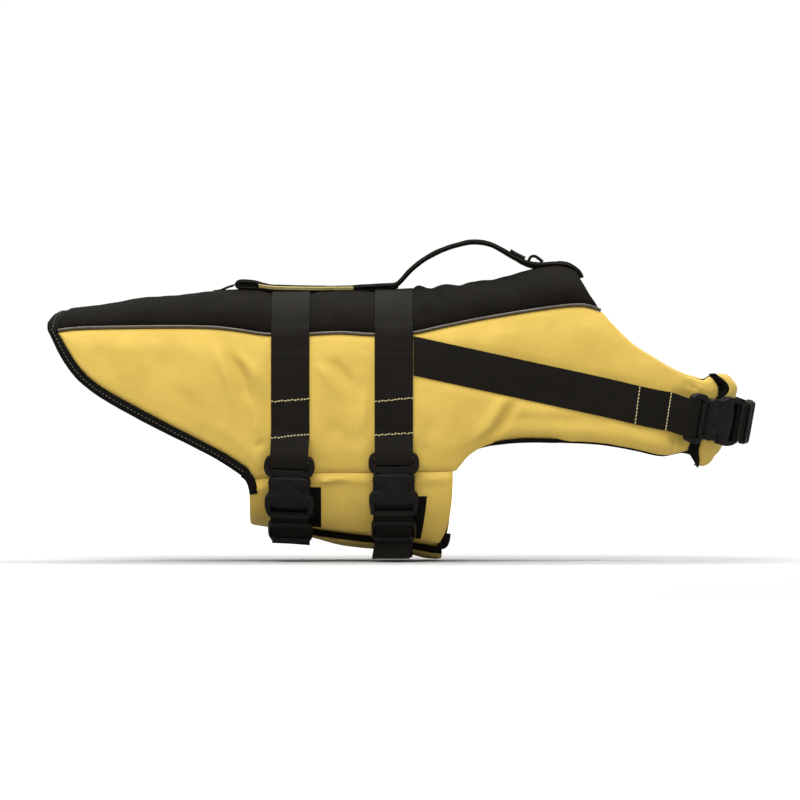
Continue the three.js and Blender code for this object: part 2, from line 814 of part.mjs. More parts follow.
const BAR_RADIUS = 2;
const SOCKET_BAR = 3 - BUCKLE_LENGTH / 2; // the web bars, from the middle of the closed buckle
const PLUG_BAR = 20;
const PLUG_TOP = 31; // the plug's ears stand past its bar
const BAR_ROOM = 4.6; // from a bar's middle to the body
const LOOP_RADIUS = BAR_RADIUS + SEAM_GAP + WEB_THICK / 2;
const ARM_INSIDE = WEB_WIDTH / 2 + 0.5;

const EDGE_INSET = 0.5; // how far a moulded edge's chamfer runs in

function extruded(shape, depth, bevel) {
  const geometry = new THREE.ExtrudeGeometry(shape, {
    depth: depth - 2 * bevel,
    bevelEnabled: true,
    bevelThickness: bevel,
    bevelSize: EDGE_INSET,
    bevelOffset: -EDGE_INSET,
    bevelSegments: 1,
    curveSegments: 3,
  });
  return geometry.translate(0, 0, bevel - depth / 2);
}

function barAt(v) {
  const bar = new THREE.CylinderGeometry(BAR_RADIUS, BAR_RADIUS, 2 * ARM_INSIDE + 2, 8);
  return bar.rotateZ(Math.PI / 2).translate(0, v, 0);
}

// The half with the receiving slot: a waisted body with round side windows and two arms.
function buckleSocket() {
  const half = BUCKLE_WIDTH / 2;
  const top = 10;
  const foot = BAR_ROOM + SOCKET_BAR;
  const shape = new THREE.Shape();
  shape.moveTo(-half + 5, top);
  shape.lineTo(half - 5, top);
  shape.quadraticCurveTo(half - 2, top, half - 2, top - 3);
  shape.absarc(half, 1.5, 4.5, Math.PI * 0.6, Math.PI * 1.35, false);
  shape.quadraticCurveTo(half + 0.4, -12, half, -20);
  shape.lineTo(half - 2, SOCKET_BAR);
  shape.quadraticCurveTo(half - 3, -BUCKLE_LENGTH / 2, ARM_INSIDE, -BUCKLE_LENGTH / 2);
  shape.lineTo(ARM_INSIDE, foot);
  shape.lineTo(-ARM_INSIDE, foot);
  shape.lineTo(-ARM_INSIDE, -BUCKLE_LENGTH / 2);
  shape.quadraticCurveTo(3 - half, -BUCKLE_LENGTH / 2, 2 - half, SOCKET_BAR);
  shape.lineTo(-half, -20);
  shape.quadraticCurveTo(-half - 0.4, -12, -half - 0.4, -4);
  shape.absarc(-half, 1.5, 4.5, -Math.PI * 0.35, Math.PI * 0.4, false);
  shape.lineTo(2 - half, top - 3);
  shape.quadraticCurveTo(2 - half, top, 5 - half, top);
  return joined([extruded(shape, BUCKLE_THICK, 1.6), barAt(SOCKET_BAR)]);
}

// The half that clicks in: a plate with two rounded arms that hold its web bar.
function bucklePlug() {
  const half = BUCKLE_WIDTH / 2 - 0.3;
  const foot = 10 + SEAM_GAP;
  const top = PLUG_TOP;
  const crotch = PLUG_BAR - BAR_ROOM;
  const shape = new THREE.Shape();
  shape.moveTo(-19, foot);
  shape.lineTo(19, foot);
  shape.quadraticCurveTo(half, foot + 2, half, foot + 9);
  shape.quadraticCurveTo(half, top, half - 3, top);
  shape.lineTo(ARM_INSIDE, top);
  shape.lineTo(ARM_INSIDE, crotch);
  shape.lineTo(-ARM_INSIDE, crotch);
  shape.lineTo(-ARM_INSIDE, top);
  shape.lineTo(3 - half, top);
  shape.quadraticCurveTo(-half, top, -half, foot + 9);
  shape.quadraticCurveTo(-half, foot + 2, -19, foot);
  return joined([extruded(shape, BUCKLE_THICK - 2.5, 1.4), barAt(PLUG_BAR)]);
}

const LAYER = WEB_THICK / 2 + SEAM_GAP / 2; // half the distance between two lying layers

// Keeps the two layers of web together: posts beside them, two bars over and one under.
function slider() {
  const inside = WEB_WIDTH / 2 + 0.4;
  const post = SLIDER_WIDTH / 2 - inside;
  const over = LAYER + WEB_THICK / 2 + SEAM_GAP;
  const deep = 2 * (over + BAR_THICK);
  const box = (w, l, d, u, v, n) => new THREE.BoxGeometry(w, l, d).translate(u, v, n);
  const bar = over + BAR_THICK / 2;
  return joined([
    box(post, SLIDER_LENGTH, deep, inside + post / 2, 0, 0),
    box(post, SLIDER_LENGTH, deep, -inside - post / 2, 0, 0),
    box(SLIDER_WIDTH - 1, 6, BAR_THICK, 0, SLIDER_LENGTH / 2 - 3, bar),
    box(SLIDER_WIDTH - 1, 6, BAR_THICK, 0, 3 - SLIDER_LENGTH / 2, bar),
    box(SLIDER_WIDTH - 1, 7, BAR_THICK, 0, 0, -bar),
  ]);
}

// The web round a bar, from one face of the buckle to the other.
function roundBar(frame, v, side, from, to) {
  return spread(6, from, to).map((angle) => {
    const along = v - side * LOOP_RADIUS * Math.sin(angle);
    return (u) => at3(frame, u, along, -LOOP_RADIUS * Math.cos(angle));
  });
}

// The adjustable end: in through the slider, round the socket's bar, back out as a tail.
function looseEnd(buckle, keeper, tail) {
  const reach = SLIDER_LENGTH / 2 + 1;
  return [
    (u) => at3(keeper, u, -reach, -LAYER),
    (u) => at3(keeper, u, 0, -LAYER),
    (u) => at3(keeper, u, reach - 3, -LAYER - 0.1),
    ...roundBar(buckle, SOCKET_BAR, -1, 0, Math.PI),
    (u) => at3(keeper, u, reach - 3, LAYER + 0.1),
    (u) => at3(keeper, u, 0, LAYER),
    (u) => at3(keeper, u, -reach, LAYER),
    ...tail,
  ];
}

// How far a web rides out at a turn, to clear the piping and the belly binding under it.
function rideOver(at, turn) {
  const piping = turnOnLine(at, pipingAt);
  const away = Math.abs(Math.abs(turn) - piping) / turnFor(at, piping, 1);
  const overPiping = (PIPING_PROUD + 0.15) * (1 - smooth(away, RIDE_FLAT, RIDE_END));
  const overBinding = smooth(Math.abs(turn), RIDE_BINDING_FROM, RIDE_BINDING_TO);
  return OVER_PANEL + overPiping + (BINDING_PROUD + 0.1) * overBinding;
}

function bellyBuckle(row) {
  const turn = turnAt(row.x, row.z);
  const normal = faceNormal(row.x, turn);
  const up = facePoint(row.x, turn - 0.01).sub(facePoint(row.x, turn));
  const out = SEAM_GAP + PATCH_THICK + SEAM_GAP + BUCKLE_THICK / 2;
  const buckle = frameOf(raised(row.x, turn, out), up, normal);
  const keeper = stepped(buckle, 0, -BUCKLE_LENGTH / 2 - LINK_LENGTH + 2, -3.5, LINK_TIP);
  return { buckle, keeper };
}

function bellyStrap(row) {
  const { buckle, keeper } = bellyBuckle(row);
  const leave = turnAt(row.x, row.leave);
  const piping = turnOnLine(row.x, pipingAt);
  const steps = [-RIDE_END, -RIDE_FLAT, RIDE_FLAT, RIDE_END].map((d) => turnFor(row.x, piping, d));
  const crossings = steps.flatMap((step) => [piping + step, -piping - step]);
  const plain = spread(42, leave, -(2 * Math.PI - BELLY_LEAVE * Math.PI));
  const clear = plain.filter((t) => Math.abs(Math.abs(t) - piping) > steps.at(-1) + 0.02);
  const over = [...clear, ...crossings].sort((a, b) => b - a);
  const down = new THREE.Vector3(0, row.sag * 0.3, -1).normalize();
  const tail = [0.35, 0.7, 1].map((share) => (u) => {
    const start = at3(keeper, u, -SLIDER_LENGTH / 2 - 1, LAYER);
    const drop = down.clone().multiplyScalar(share * row.tail);
    return start.add(drop).addScaledVector(keeper.v, -1.5 * share);
  });
  const path = [
    ...roundBar(buckle, PLUG_BAR, 1, 0, Math.PI),
    (u) => at3(buckle, u, PLUG_BAR + 7, LOOP_RADIUS - 0.6),
    (u) => at3(buckle, u, PLUG_TOP + 3, LOOP_RADIUS - 2),
    ...over.map((turn) => (u) => raised(row.x + u, turn, rideOver(row.x + u, turn))),
    ...looseEnd(buckle, keeper, tail),
  ];
  return ribbon(path, WEB_WIDTH, WEB_THICK, 3);
}

const webTopAt = through(CHEST_WEB, "x", "top");
const webBottomAt = through(CHEST_WEB, "x", "bottom");
// A point of the chest web at a station, a distance u up from its middle line.
function onChestWeb(at, u, sign, out) {
  const share = 0.5 + u / WEB_WIDTH;
  let z = -100;
  for (let i = 0; i < 8; i += 1) {
    const x = forwardAt(at, z);
    z = THREE.MathUtils.lerp(webBottomAt(x), webTopAt(x), share);
  }
  return raised(at, sign * turnAt(at, z), out);
}

function chestBuckle() {
  const { at, z, lean } = CHEST_BUCKLE;
  const turn = turnAt(at, z);
  const back = facePoint(at - 1, turn).sub(facePoint(at, turn)).normalize();
  const normal = faceNormal(at, turn);
  back.applyAxisAngle(normal, lean);
  return frameOf(raised(at, turn, CHEST_OUT), back, normal);
}

function chestKeeper() {
  const { down, in: inward, tip } = CHEST_KEEPER;
  return stepped(chestBuckle(), 0, -down, -inward, tip);
}

function chestWebRight() {
  const buckle = chestBuckle();
  const stations = spread(14, 345, CHEST_FROM);
  const path = [
    ...roundBar(buckle, PLUG_BAR, 1, 0, Math.PI),
    (u) => at3(buckle, u, PLUG_BAR + 7, LOOP_RADIUS - 0.6),
    (u) => at3(buckle, u, PLUG_TOP + 1, LOOP_RADIUS - 1.6),
    ...stations.map((at) => (u) => onChestWeb(at, u, 1, OVER_PANEL)),
  ];
  return ribbon(path, WEB_WIDTH, WEB_THICK, 3);
}

function chestWebLeft() {
  const buckle = chestBuckle();
  const keeper = chestKeeper();
  const stations = [...spread(14, CHEST_FROM, 350), 366, 382, 398, 414];
  const reach = SLIDER_LENGTH / 2 + 1;
  const path = [
    ...stations.map((at) => (u) => onChestWeb(at, u, -1, OVER_PANEL + 4 * smooth(at, 382, 420))),
    ...looseEnd(buckle, keeper, [(u) => at3(keeper, u, -reach - 5, LAYER + 1)]),
  ];
  return ribbon(path, WEB_WIDTH, WEB_THICK, 3);
}

// Black tape along the left side's front edge, where it laps over the right side.
function lapTape() {
  const rows = ACROSS_SIDE.map((down) => {
    const from = lapAt(down);
    const outer = [];
    const inner = [];
    for (const share of spread(2)) {
      const at = from + 1.2 + share * tapeAt(down);
      const { upper, lower } = sideTurns(from, SIDES[1]);
      const turn = -THREE.MathUtils.lerp(upper, lower, down);
      outer.push(raised(at, turn, 0.2));
      inner.push(raised(at, turn, -TAPE_WALL));
    }
    return { outer, inner };
  });
  return wall(rows);
}

function alongSpine(rows, width, thick, columns) {
  const path = rows.map((row) => (u) => new THREE.Vector3(row.x, -u, row.z));
  return ribbon(path, width, thick, columns);
}

add("back_panel", backPanel(), COLOURS.black);
add("rear_binding", rearBinding(), COLOURS.black);
for (const side of SIDES) {
  add(`side_panel_${side.name}`, sidePanel(side), COLOURS.yellow);
  add(`piping_${side.name}`, piping(side), COLOURS.grey, 0.6);
  add(`leg_binding_${side.name}`, legBinding(side), COLOURS.black);
}

add("belly_flap_right", rightFlap(), COLOURS.yellow);
add("belly_flap_left", leftFlap(), COLOURS.yellow);
add("belly_binding", bellyBinding(), COLOURS.black);
PATCHES.forEach((row) => add(row.name, patch(row), COLOURS.black));

for (const row of BELLY_BUCKLES) {
  const { buckle, keeper } = bellyBuckle(row);
  add(`belly_strap_${row.place}`, bellyStrap(row), COLOURS.webbing);
  placed(add(`buckle_socket_${row.place}`, buckleSocket(), COLOURS.plastic, 0.4), buckle);
  placed(add(`buckle_plug_${row.place}`, bucklePlug(), COLOURS.plastic, 0.4), buckle);
  placed(add(`slider_${row.place}`, slider(), COLOURS.plastic, 0.4), keeper);
}

const chest = chestBuckle();
add("chest_strap_right", chestWebRight(), COLOURS.webbing);
add("chest_strap_left", chestWebLeft(), COLOURS.webbing);
placed(add("buckle_socket_chest", buckleSocket(), COLOURS.plastic, 0.4), chest);
placed(add("buckle_plug_chest", bucklePlug(), COLOURS.plastic, 0.4), chest);
placed(add("slider_chest", slider(), COLOURS.plastic, 0.4), chestKeeper());
add("lap_tape", lapTape(), COLOURS.black);
add("handle", alongSpine(HANDLE_PATH, HANDLE_WIDTH, HANDLE_THICK, 2), COLOURS.black);
add("handle_front_tab", alongSpine(FRONT_TAB, 22, 1.6, 1), COLOURS.grey);
add("handle_ring_web", alongSpine(RING_WEB, 20, 1.8, 1), COLOURS.webbing);
add("handle_rear_tab", alongSpine(REAR_TAB, 20, 1.6, 1), COLOURS.webbing);

export default jacket;
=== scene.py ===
"""Dog life jacket, filled out as it is worn: the looks of its cloth, webbing and buckles.

Lengths are in millimetres until a mesh is made. A station ("at") is a place along the jacket and a
turn goes round it: 0 at the spine, above 0 on the right side (-Y), below 0 on the left.
"""

import math

import bmesh
import bpy
import numpy as np
from mathutils import Matrix, Vector


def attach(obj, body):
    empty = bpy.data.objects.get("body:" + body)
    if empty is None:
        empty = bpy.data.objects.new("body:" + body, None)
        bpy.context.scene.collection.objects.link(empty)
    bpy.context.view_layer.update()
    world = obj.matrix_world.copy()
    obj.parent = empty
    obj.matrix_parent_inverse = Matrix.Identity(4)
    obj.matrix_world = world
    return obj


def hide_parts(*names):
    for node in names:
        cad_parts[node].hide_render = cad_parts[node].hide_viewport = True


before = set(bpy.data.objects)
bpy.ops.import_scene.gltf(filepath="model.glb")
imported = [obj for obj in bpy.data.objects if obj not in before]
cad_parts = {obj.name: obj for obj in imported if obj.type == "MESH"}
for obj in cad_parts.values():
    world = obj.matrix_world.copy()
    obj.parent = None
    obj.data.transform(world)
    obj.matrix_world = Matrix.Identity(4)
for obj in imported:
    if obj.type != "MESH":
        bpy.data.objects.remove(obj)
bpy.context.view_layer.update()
MM = 0.001

# Walls and trims
BACK_WALL, SIDE_WALL, FLAP_WALL = 8.0, 5.0, 4.0
SEAM_GAP = 0.35
LAP_GAP = 1.0
PIPING_WIDTH = 2.6
LEG_BINDING_WIDTH = 3.4
BELLY_BINDING_WIDTH = 9.0
WEB_WIDTH, WEB_THICK = 40.0, 1.6
BUCKLE_LENGTH, BUCKLE_THICK = 70.0, 11.0

# Stations and places of the cut
NOSE_START, NOSE_LENGTH = 275.0, 170.0
BACK_REAR, BACK_FRONT, REAR_SWEEP, FRONT_SWEEP = -282.0, 250.0, 13.0, 23.0
PIPING_FRONT = 273.6
SIDE_REAR, SIDE_FRONT, LAP_FRONT = -296.0, 396.0, 512.0
SIDE_CORNER, FLAP_SEAM_REAR, LEG_START = -97.0, -90.0, 119.0
TUCK_FROM, TUCK_TO = 322.0, 362.0
FLAP_REAR, FLAP_FRONT, FLAP_TAPER, LEFT_LAP_REAR, LEFT_LAP_SHARE = -95.0, 118.5, 13.0, -58.0, 0.95
LEFT_TAPERED = 0.55
STEP_ABOVE, STEP_LENGTH, UNDERLAP = 14.0, 11.0, 20.0
STEP_REAR_FROM, STEP_REAR_TO = -78.0, -62.0

# The worn form: height of the spine and the belly, and half the width, at each station
SECTIONS = np.array(
    [
        # at, top, bottom, half
        (-306, -16, -150, 56), (-293, -13, -165, 60), (-245, -5.7, -205, 68), (-170, 3.8, -230, 78),
        (-105, 9, -237, 86), (-70, 7, -242, 90), (-30, 7, -252, 93), (0, 8, -259, 94),
        (32, 8.5, -263.5, 95), (72, 9.5, -269.5, 94), (105, 13, -274.5, 91), (141, 17.5, -268, 86),
        (178, 24, -252, 80), (204, 31, -240, 76), (230, 33, -229, 73), (252, 26, -220, 70),
        (275, 12, -213, 68), (330, -12, -203, 68), (385, -32, -193, 68), (445, -45, -186, 68),
        (540, -45, -186, 68),
    ]
)
EGG, BOXY, BOXY_TOP = 0.12, 0.08, 0.03
# How far forward the bow of the chest reaches at each height: z, x
BOW = ((-185, 374), (-178, 379), (-169, 392), (-155, 401), (-128, 413), (-100, 418), (-90, 417))
BOW += ((-78, 410), (-60, 402))

# Seams and edges as they show from the side: x, z
PIPING_SEAM = ((-302, -34), (-278, -31), (-234, -29.8), (-170, -29.3), (-130, -30.3), (-106, -33))
PIPING_SEAM += ((-77, -37.2), (-35, -37.2), (0, -35.7), (33, -37.5), (75, -36.1), (105, -29.8))
PIPING_SEAM += ((143, -21.9), (195, -13), (230, -8), (246, -6.6), (257, -6.8), (266, -8.8), (275, -12.4))
NECK_EDGE = ((275, -12.4), (286, -25.6), (307, -46.6), (328, -60.3), (352, -72.9), (379, -81.3))
NECK_EDGE += ((387, -83), (394, -79), (410, -78), (418, -82))
BELLY_SEAM = ((-96, -190.8), (-25, -183.1), (34, -182.5), (119, -181))
LEG_EDGE = ((119, -181), (125, -172.5), (133, -163), (144, -155.3), (155, -152), (174, -149))
LEG_EDGE += ((199, -147.5), (236, -148.5), (274, -151), (311, -157.5), (338, -164.5), (352, -167))
LEG_EDGE += ((371, -163), (400, -160))
BELLY_HEM = ((-96, -236), (-73, -239.5), (-21, -246.6), (21, -251.4), (58, -255.6), (84, -260.8), (106, -264))
LAP_EDGE = ((0, 496), (0.16, 481), (0.3, 505), (0.7, 510), (0.88, 494), (1, 462))  # down, at
LAP_LOWER = ((275, -151), (311, -156), (352, -160), (376, -163), (396, -168), (416, -174), (440, -178))
LAP_LOWER += ((462, -178), (520, -176))
# The rear binding's outer edge and the line where it meets the cloth: x, z, inner x, inner z
REAR_BINDING = np.array(
    [
        (-305.5, -31, -298, -34.5), (-303, -40.3, -294, -39), (-296, -56, -287, -52),
        (-285, -73.9, -276.5, -68.5), (-272, -88.6, -265, -81.5), (-251, -104.4, -247, -95),
        (-218, -123.3, -214, -113.5), (-187, -139.5, -183, -130), (-154, -155.8, -150, -147),
        (-125, -171.6, -120, -163), (-103, -186.5, -97, -178),
    ]
)


def smooth(x, low, high):
    t = np.clip((np.asarray(x, float) - low) / (high - low), 0, 1)
    return t * t * (3 - 2 * t)


def bell(x, middle, width):
    """1 at a place, falling to 0 on both sides of it."""
    return np.exp(-(((x - middle) / width) ** 2))


def between(a, b, share):
    return a * (1 - share) + b * share


def side_name(side):
    return "right" if side > 0 else "left"


def curve(lengths, points, where):
    """Points of a smooth curve through a table's or grid's rows, at lengths along it, flat past its ends."""
    trail = (1,) * (points.ndim - 1)
    ends = np.concatenate([points[:1], points[:-1]]), np.concatenate([points[1:], points[-1:]])
    gaps = np.concatenate([lengths[:1], lengths[:-1]]), np.concatenate([lengths[1:], lengths[-1:]])
    slopes = (ends[1] - ends[0]) / np.maximum(gaps[1] - gaps[0], 1e-6).reshape((-1,) + trail)
    i = np.clip(np.searchsorted(lengths, where), 1, len(lengths) - 1)
    start, span = (v.reshape(np.shape(where) + trail) for v in (lengths[i - 1], lengths[i] - lengths[i - 1]))
    t = np.clip((np.reshape(where, start.shape) - start) / span, 0, 1)
    bend = slopes[i - 1] * span * t * (1 - t) ** 2 - slopes[i] * span * t * t * (1 - t)
    return points[i - 1] + (points[i] - points[i - 1]) * t * t * (3 - 2 * t) + bend


def through(xs, ys=None):
    """A smooth line through the rows of a table."""
    xs, ys = zip(*xs) if ys is None else (xs, ys)
    xs, ys = np.array(xs, float), np.array(ys, float)
    return lambda x: curve(xs, ys, x)


def in_rows(start, end, count):
    return np.linspace(start, end, count)[:, None]


def in_columns(start, end, count):
    return np.linspace(start, end, count)[None, :]


def arrays(*values):
    return np.broadcast_arrays(*(np.asarray(v, float) for v in values))


def run_lengths(points):
    """How far each row of points lies along the first axis."""
    gaps = np.linalg.norm(np.diff(points, axis=0), axis=-1)
    return np.concatenate([np.zeros_like(gaps[:1]), np.cumsum(gaps, 0)])


top_at, bottom_at, half_at = (through(SECTIONS[:, 0], SECTIONS[:, i]) for i in (1, 2, 3))
bow_at, piping_at, neck_at, belly_seam_at = map(through, (BOW, PIPING_SEAM, NECK_EDGE, BELLY_SEAM))
leg_at, hem_at, lap_at, lap_lower_at = map(through, (LEG_EDGE, BELLY_HEM, LAP_EDGE, LAP_LOWER))
rear_inner_at = through(REAR_BINDING[:, 2], REAR_BINDING[:, 3])


def height_at(at, turn):
    middle, reach = (top_at(at) + bottom_at(at)) / 2, (top_at(at) - bottom_at(at)) / 2
    return middle + reach * (np.cos(turn) - BOXY_TOP * np.cos(3 * turn)) / (1 - BOXY_TOP)


def turn_at(at, z):
    """The turn at which the section reaches a height."""
    at, z = arrays(at, z)
    low, high = np.zeros(at.shape), np.full(at.shape, math.pi)
    for _ in range(36):
        turn = (low + high) / 2
        above = height_at(at, turn) > z
        low, high = np.where(above, turn, low), np.where(above, high, turn)
    return low


def bow_turn(at):
    return np.maximum(np.asarray(at, float) - NOSE_START, 0) / NOSE_LENGTH * math.pi / 2


def forward_at(at, z):
    past = NOSE_START + (bow_at(z) - NOSE_START) * np.sin(bow_turn(at))
    return np.where(np.asarray(at) < NOSE_START, at, past)


def face_point(at, turn):
    at, turn = arrays(at, turn)
    round_ = (np.sin(turn) + BOXY * np.sin(3 * turn)) / (1 - BOXY)
    wide = half_at(at) * round_ * (1 + EGG * np.cos(turn)) * np.cos(bow_turn(at))
    z = height_at(at, turn)
    return np.stack([forward_at(at, z), -wide, z], -1)


def unit(v):
    return v / np.maximum(np.linalg.norm(v, axis=-1, keepdims=True), 1e-9)


def face_normal(at, turn):
    along = face_point(at + 1, turn) - face_point(at - 1, turn)
    across = face_point(at, turn + 0.004) - face_point(at, turn - 0.004)
    return unit(np.cross(across, along))


def raised(at, turn, out):
    out = np.asarray(out, float)
    return face_point(at, turn) + face_normal(at, turn) * out[..., None]


def turn_on_line(at, line):
    """The turn where a line that is seen from the side meets the section at a station."""
    z = line(at)
    for _ in range(10):
        z = line(forward_at(at, z))
    return turn_at(at, z)


def turn_for(at, turn, distance):
    step = 0.01
    length = np.linalg.norm(face_point(at, turn + step) - face_point(at, turn - step), axis=-1)
    return distance * 2 * step / length


def beside(at, turn, line, distance):
    """The change of turn that clears a line by a distance, measured square to the line."""
    before, after = (face_point(at + d, turn_on_line(at + d, line)) for d in (-2, 2))
    along = unit(face_point(at + 1, turn) - face_point(at - 1, turn))
    slant = np.abs((unit(after - before) * along).sum(-1))
    return turn_for(at, turn, distance / np.maximum(slant, 0.4))


def upper_edge(x):
    return np.where(np.asarray(x) < NOSE_START, piping_at(x), neck_at(x))


def lower_edge(x):
    x = np.asarray(x, float)
    share = np.clip((x - SIDE_CORNER) / (FLAP_SEAM_REAR - SIDE_CORNER), 0, 1)
    corner = between(rear_inner_at(SIDE_CORNER), belly_seam_at(FLAP_SEAM_REAR), share)
    rear = np.where(x < SIDE_CORNER, rear_inner_at(x), corner)
    return np.where(x < FLAP_SEAM_REAR, rear, np.where(x < LEG_START, belly_seam_at(x), leg_at(x)))


def side_turns(at, side):
    """The turns of a side's upper and lower edges, as numbers above 0. side is 1 right, -1 left."""
    upper, lower = turn_on_line(at, upper_edge), turn_on_line(at, lower_edge)
    if side < 0:
        lower = np.where(at > NOSE_START, turn_at(at, lap_lower_at(at)), lower)
    seam = beside(at, upper, piping_at, PIPING_WIDTH / 2 + SEAM_GAP)
    return upper + np.where(at < NOSE_START, seam, 0), lower


def tuck_at(at, side):
    return (SIDE_WALL + LAP_GAP) * smooth(at, TUCK_FROM, TUCK_TO) if side > 0 else np.zeros_like(at)


# Relief: soft creases and uneven filling


def uneven(points, size, seed, waves=7):
    """A smooth seeded field from about -1 to 1, with lumps of about this size."""
    draw = np.random.default_rng(seed)
    field = np.zeros(points.shape[:-1])
    for _ in range(waves):
        way = unit(draw.normal(size=3)) * 2 * math.pi / (size * draw.uniform(0.7, 1.6))
        field += np.sin(points @ way + draw.uniform(0, 2 * math.pi))
    return field / waves * 1.6


def crease_field(points, creases):
    """Sums creases (x, z, x, z, width, height): troughs below 0 and ridges above, seen from the side."""
    field = np.zeros(points.shape[:-1])
    flat = points[..., [0, 2]]
    for x0, z0, x1, z1, width, height in creases:
        start, run = np.array((x0, z0)), np.array((x1 - x0, z1 - z0))
        length = np.hypot(*run)
        share = np.clip(((flat - start) @ run) / length**2, 0, 1)
        bend = np.sin(share * math.pi) * width * 0.7
        side = np.array((-run[1], run[0])) / length
        off = ((flat - start) @ side) - bend
        past = np.linalg.norm(flat - start - share[..., None] * run, axis=-1)
        fade = smooth(share, 0, 0.3) * (1 - smooth(share, 0.6, 1)) * bell(past, 0, width * 3)
        field += height * fade * (bell(off, 0, width) - 0.45 * bell(off, width * 1.7, width))
    return field


def edge_distances(points):
    """How far each point of a grid lies from the first and last row, and the first and last column."""
    rows, columns = run_lengths(points), run_lengths(points.swapaxes(0, 1)).T
    return rows, rows[-1:] - rows, columns, columns[:, -1:] - columns


def pulled(distance, depth, reach):
    """The drop of a stuffed surface towards a seam."""
    t = np.clip(1 - distance / reach, 0, 1)
    return -depth * t * t


# Meshes


def placed(name, data):
    """A new object of a mesh, a light or a camera, in the scene."""
    made = bpy.data.objects.new(name, data)
    bpy.context.scene.collection.objects.link(made)
    return made


def new_mesh(name, points, faces):
    mesh = bpy.data.meshes.new(name)
    mesh.from_pydata((np.array(points) * MM).tolist(), [], faces)
    return mesh


def ring_faces(first, rings, sides):
    """The faces of a closed tube whose rings of points follow each other from the first point."""
    faces = []
    for start in range(first, first + (rings - 1) * sides, sides):
        for j in range(sides):
            k = (j + 1) % sides
            faces.append((start + j, start + k, start + sides + k, start + sides + j))
    last = first + (rings - 1) * sides
    return faces + [tuple(range(first, first + sides))[::-1], tuple(range(last, last + sides))]


def grid_piece(name, outer, inner, materials, node=None):
    """A closed shell from grids of outer and inner points. materials: outer face and rim, inner face."""
    rows, columns = outer.shape[:2]
    count = rows * columns
    index = np.arange(count).reshape(rows, columns)
    face = np.stack([index[:-1, :-1], index[1:, :-1], index[1:, 1:], index[:-1, 1:]], -1).reshape(-1, 4)
    edges = (index[:, 0], index[::-1, -1], index[-1, :], index[0, ::-1])
    sides = [np.stack([e[1:], e[:-1], e[:-1] + count, e[1:] + count], -1) for e in edges]
    faces = np.concatenate([face, face[:, ::-1] + count, *sides])
    points = np.concatenate([outer.reshape(-1, 3), inner.reshape(-1, 3)])
    a, b, c, d = (points[faces[:, i]] for i in range(4))
    if (a * (np.cross(b, c) + np.cross(c, d))).sum() < 0:
        faces = faces[:, ::-1]
    mesh = new_mesh(name, points, faces.tolist())
    slots = np.zeros(len(faces), int)
    slots[len(face) : 2 * len(face)] = 1
    made = finish_mesh(name, mesh, materials, slots, node)
    down, _, along, _ = edge_distances(outer)
    uv = np.concatenate([np.stack([along, down], -1).reshape(-1, 2)] * 2) * MM
    layer = mesh.uv_layers.new(name="cloth")
    vertex = np.empty(len(mesh.loops), int)
    mesh.loops.foreach_get("vertex_index", vertex)
    layer.data.foreach_set("uv", uv[vertex].ravel())
    return made


def over_form(name, at, turn, outer, inner, materials, node):
    """A closed shell between two heights over the worn form."""
    return grid_piece(name, raised(at, turn, outer), raised(at, turn, inner), materials, node)


def finish_mesh(name, mesh, materials, slots=None, node=None, angle=40):
    for one in materials:
        mesh.materials.append(one)
    if slots is not None:
        mesh.polygons.foreach_set("material_index", np.minimum(slots, len(materials) - 1))
    mesh.polygons.foreach_set("use_smooth", np.ones(len(mesh.polygons), bool))
    mesh.set_sharp_from_angle(angle=math.radians(angle))
    made = placed(name, mesh)
    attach(made, "root")
    if node:
        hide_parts(node)
    return made


# Materials


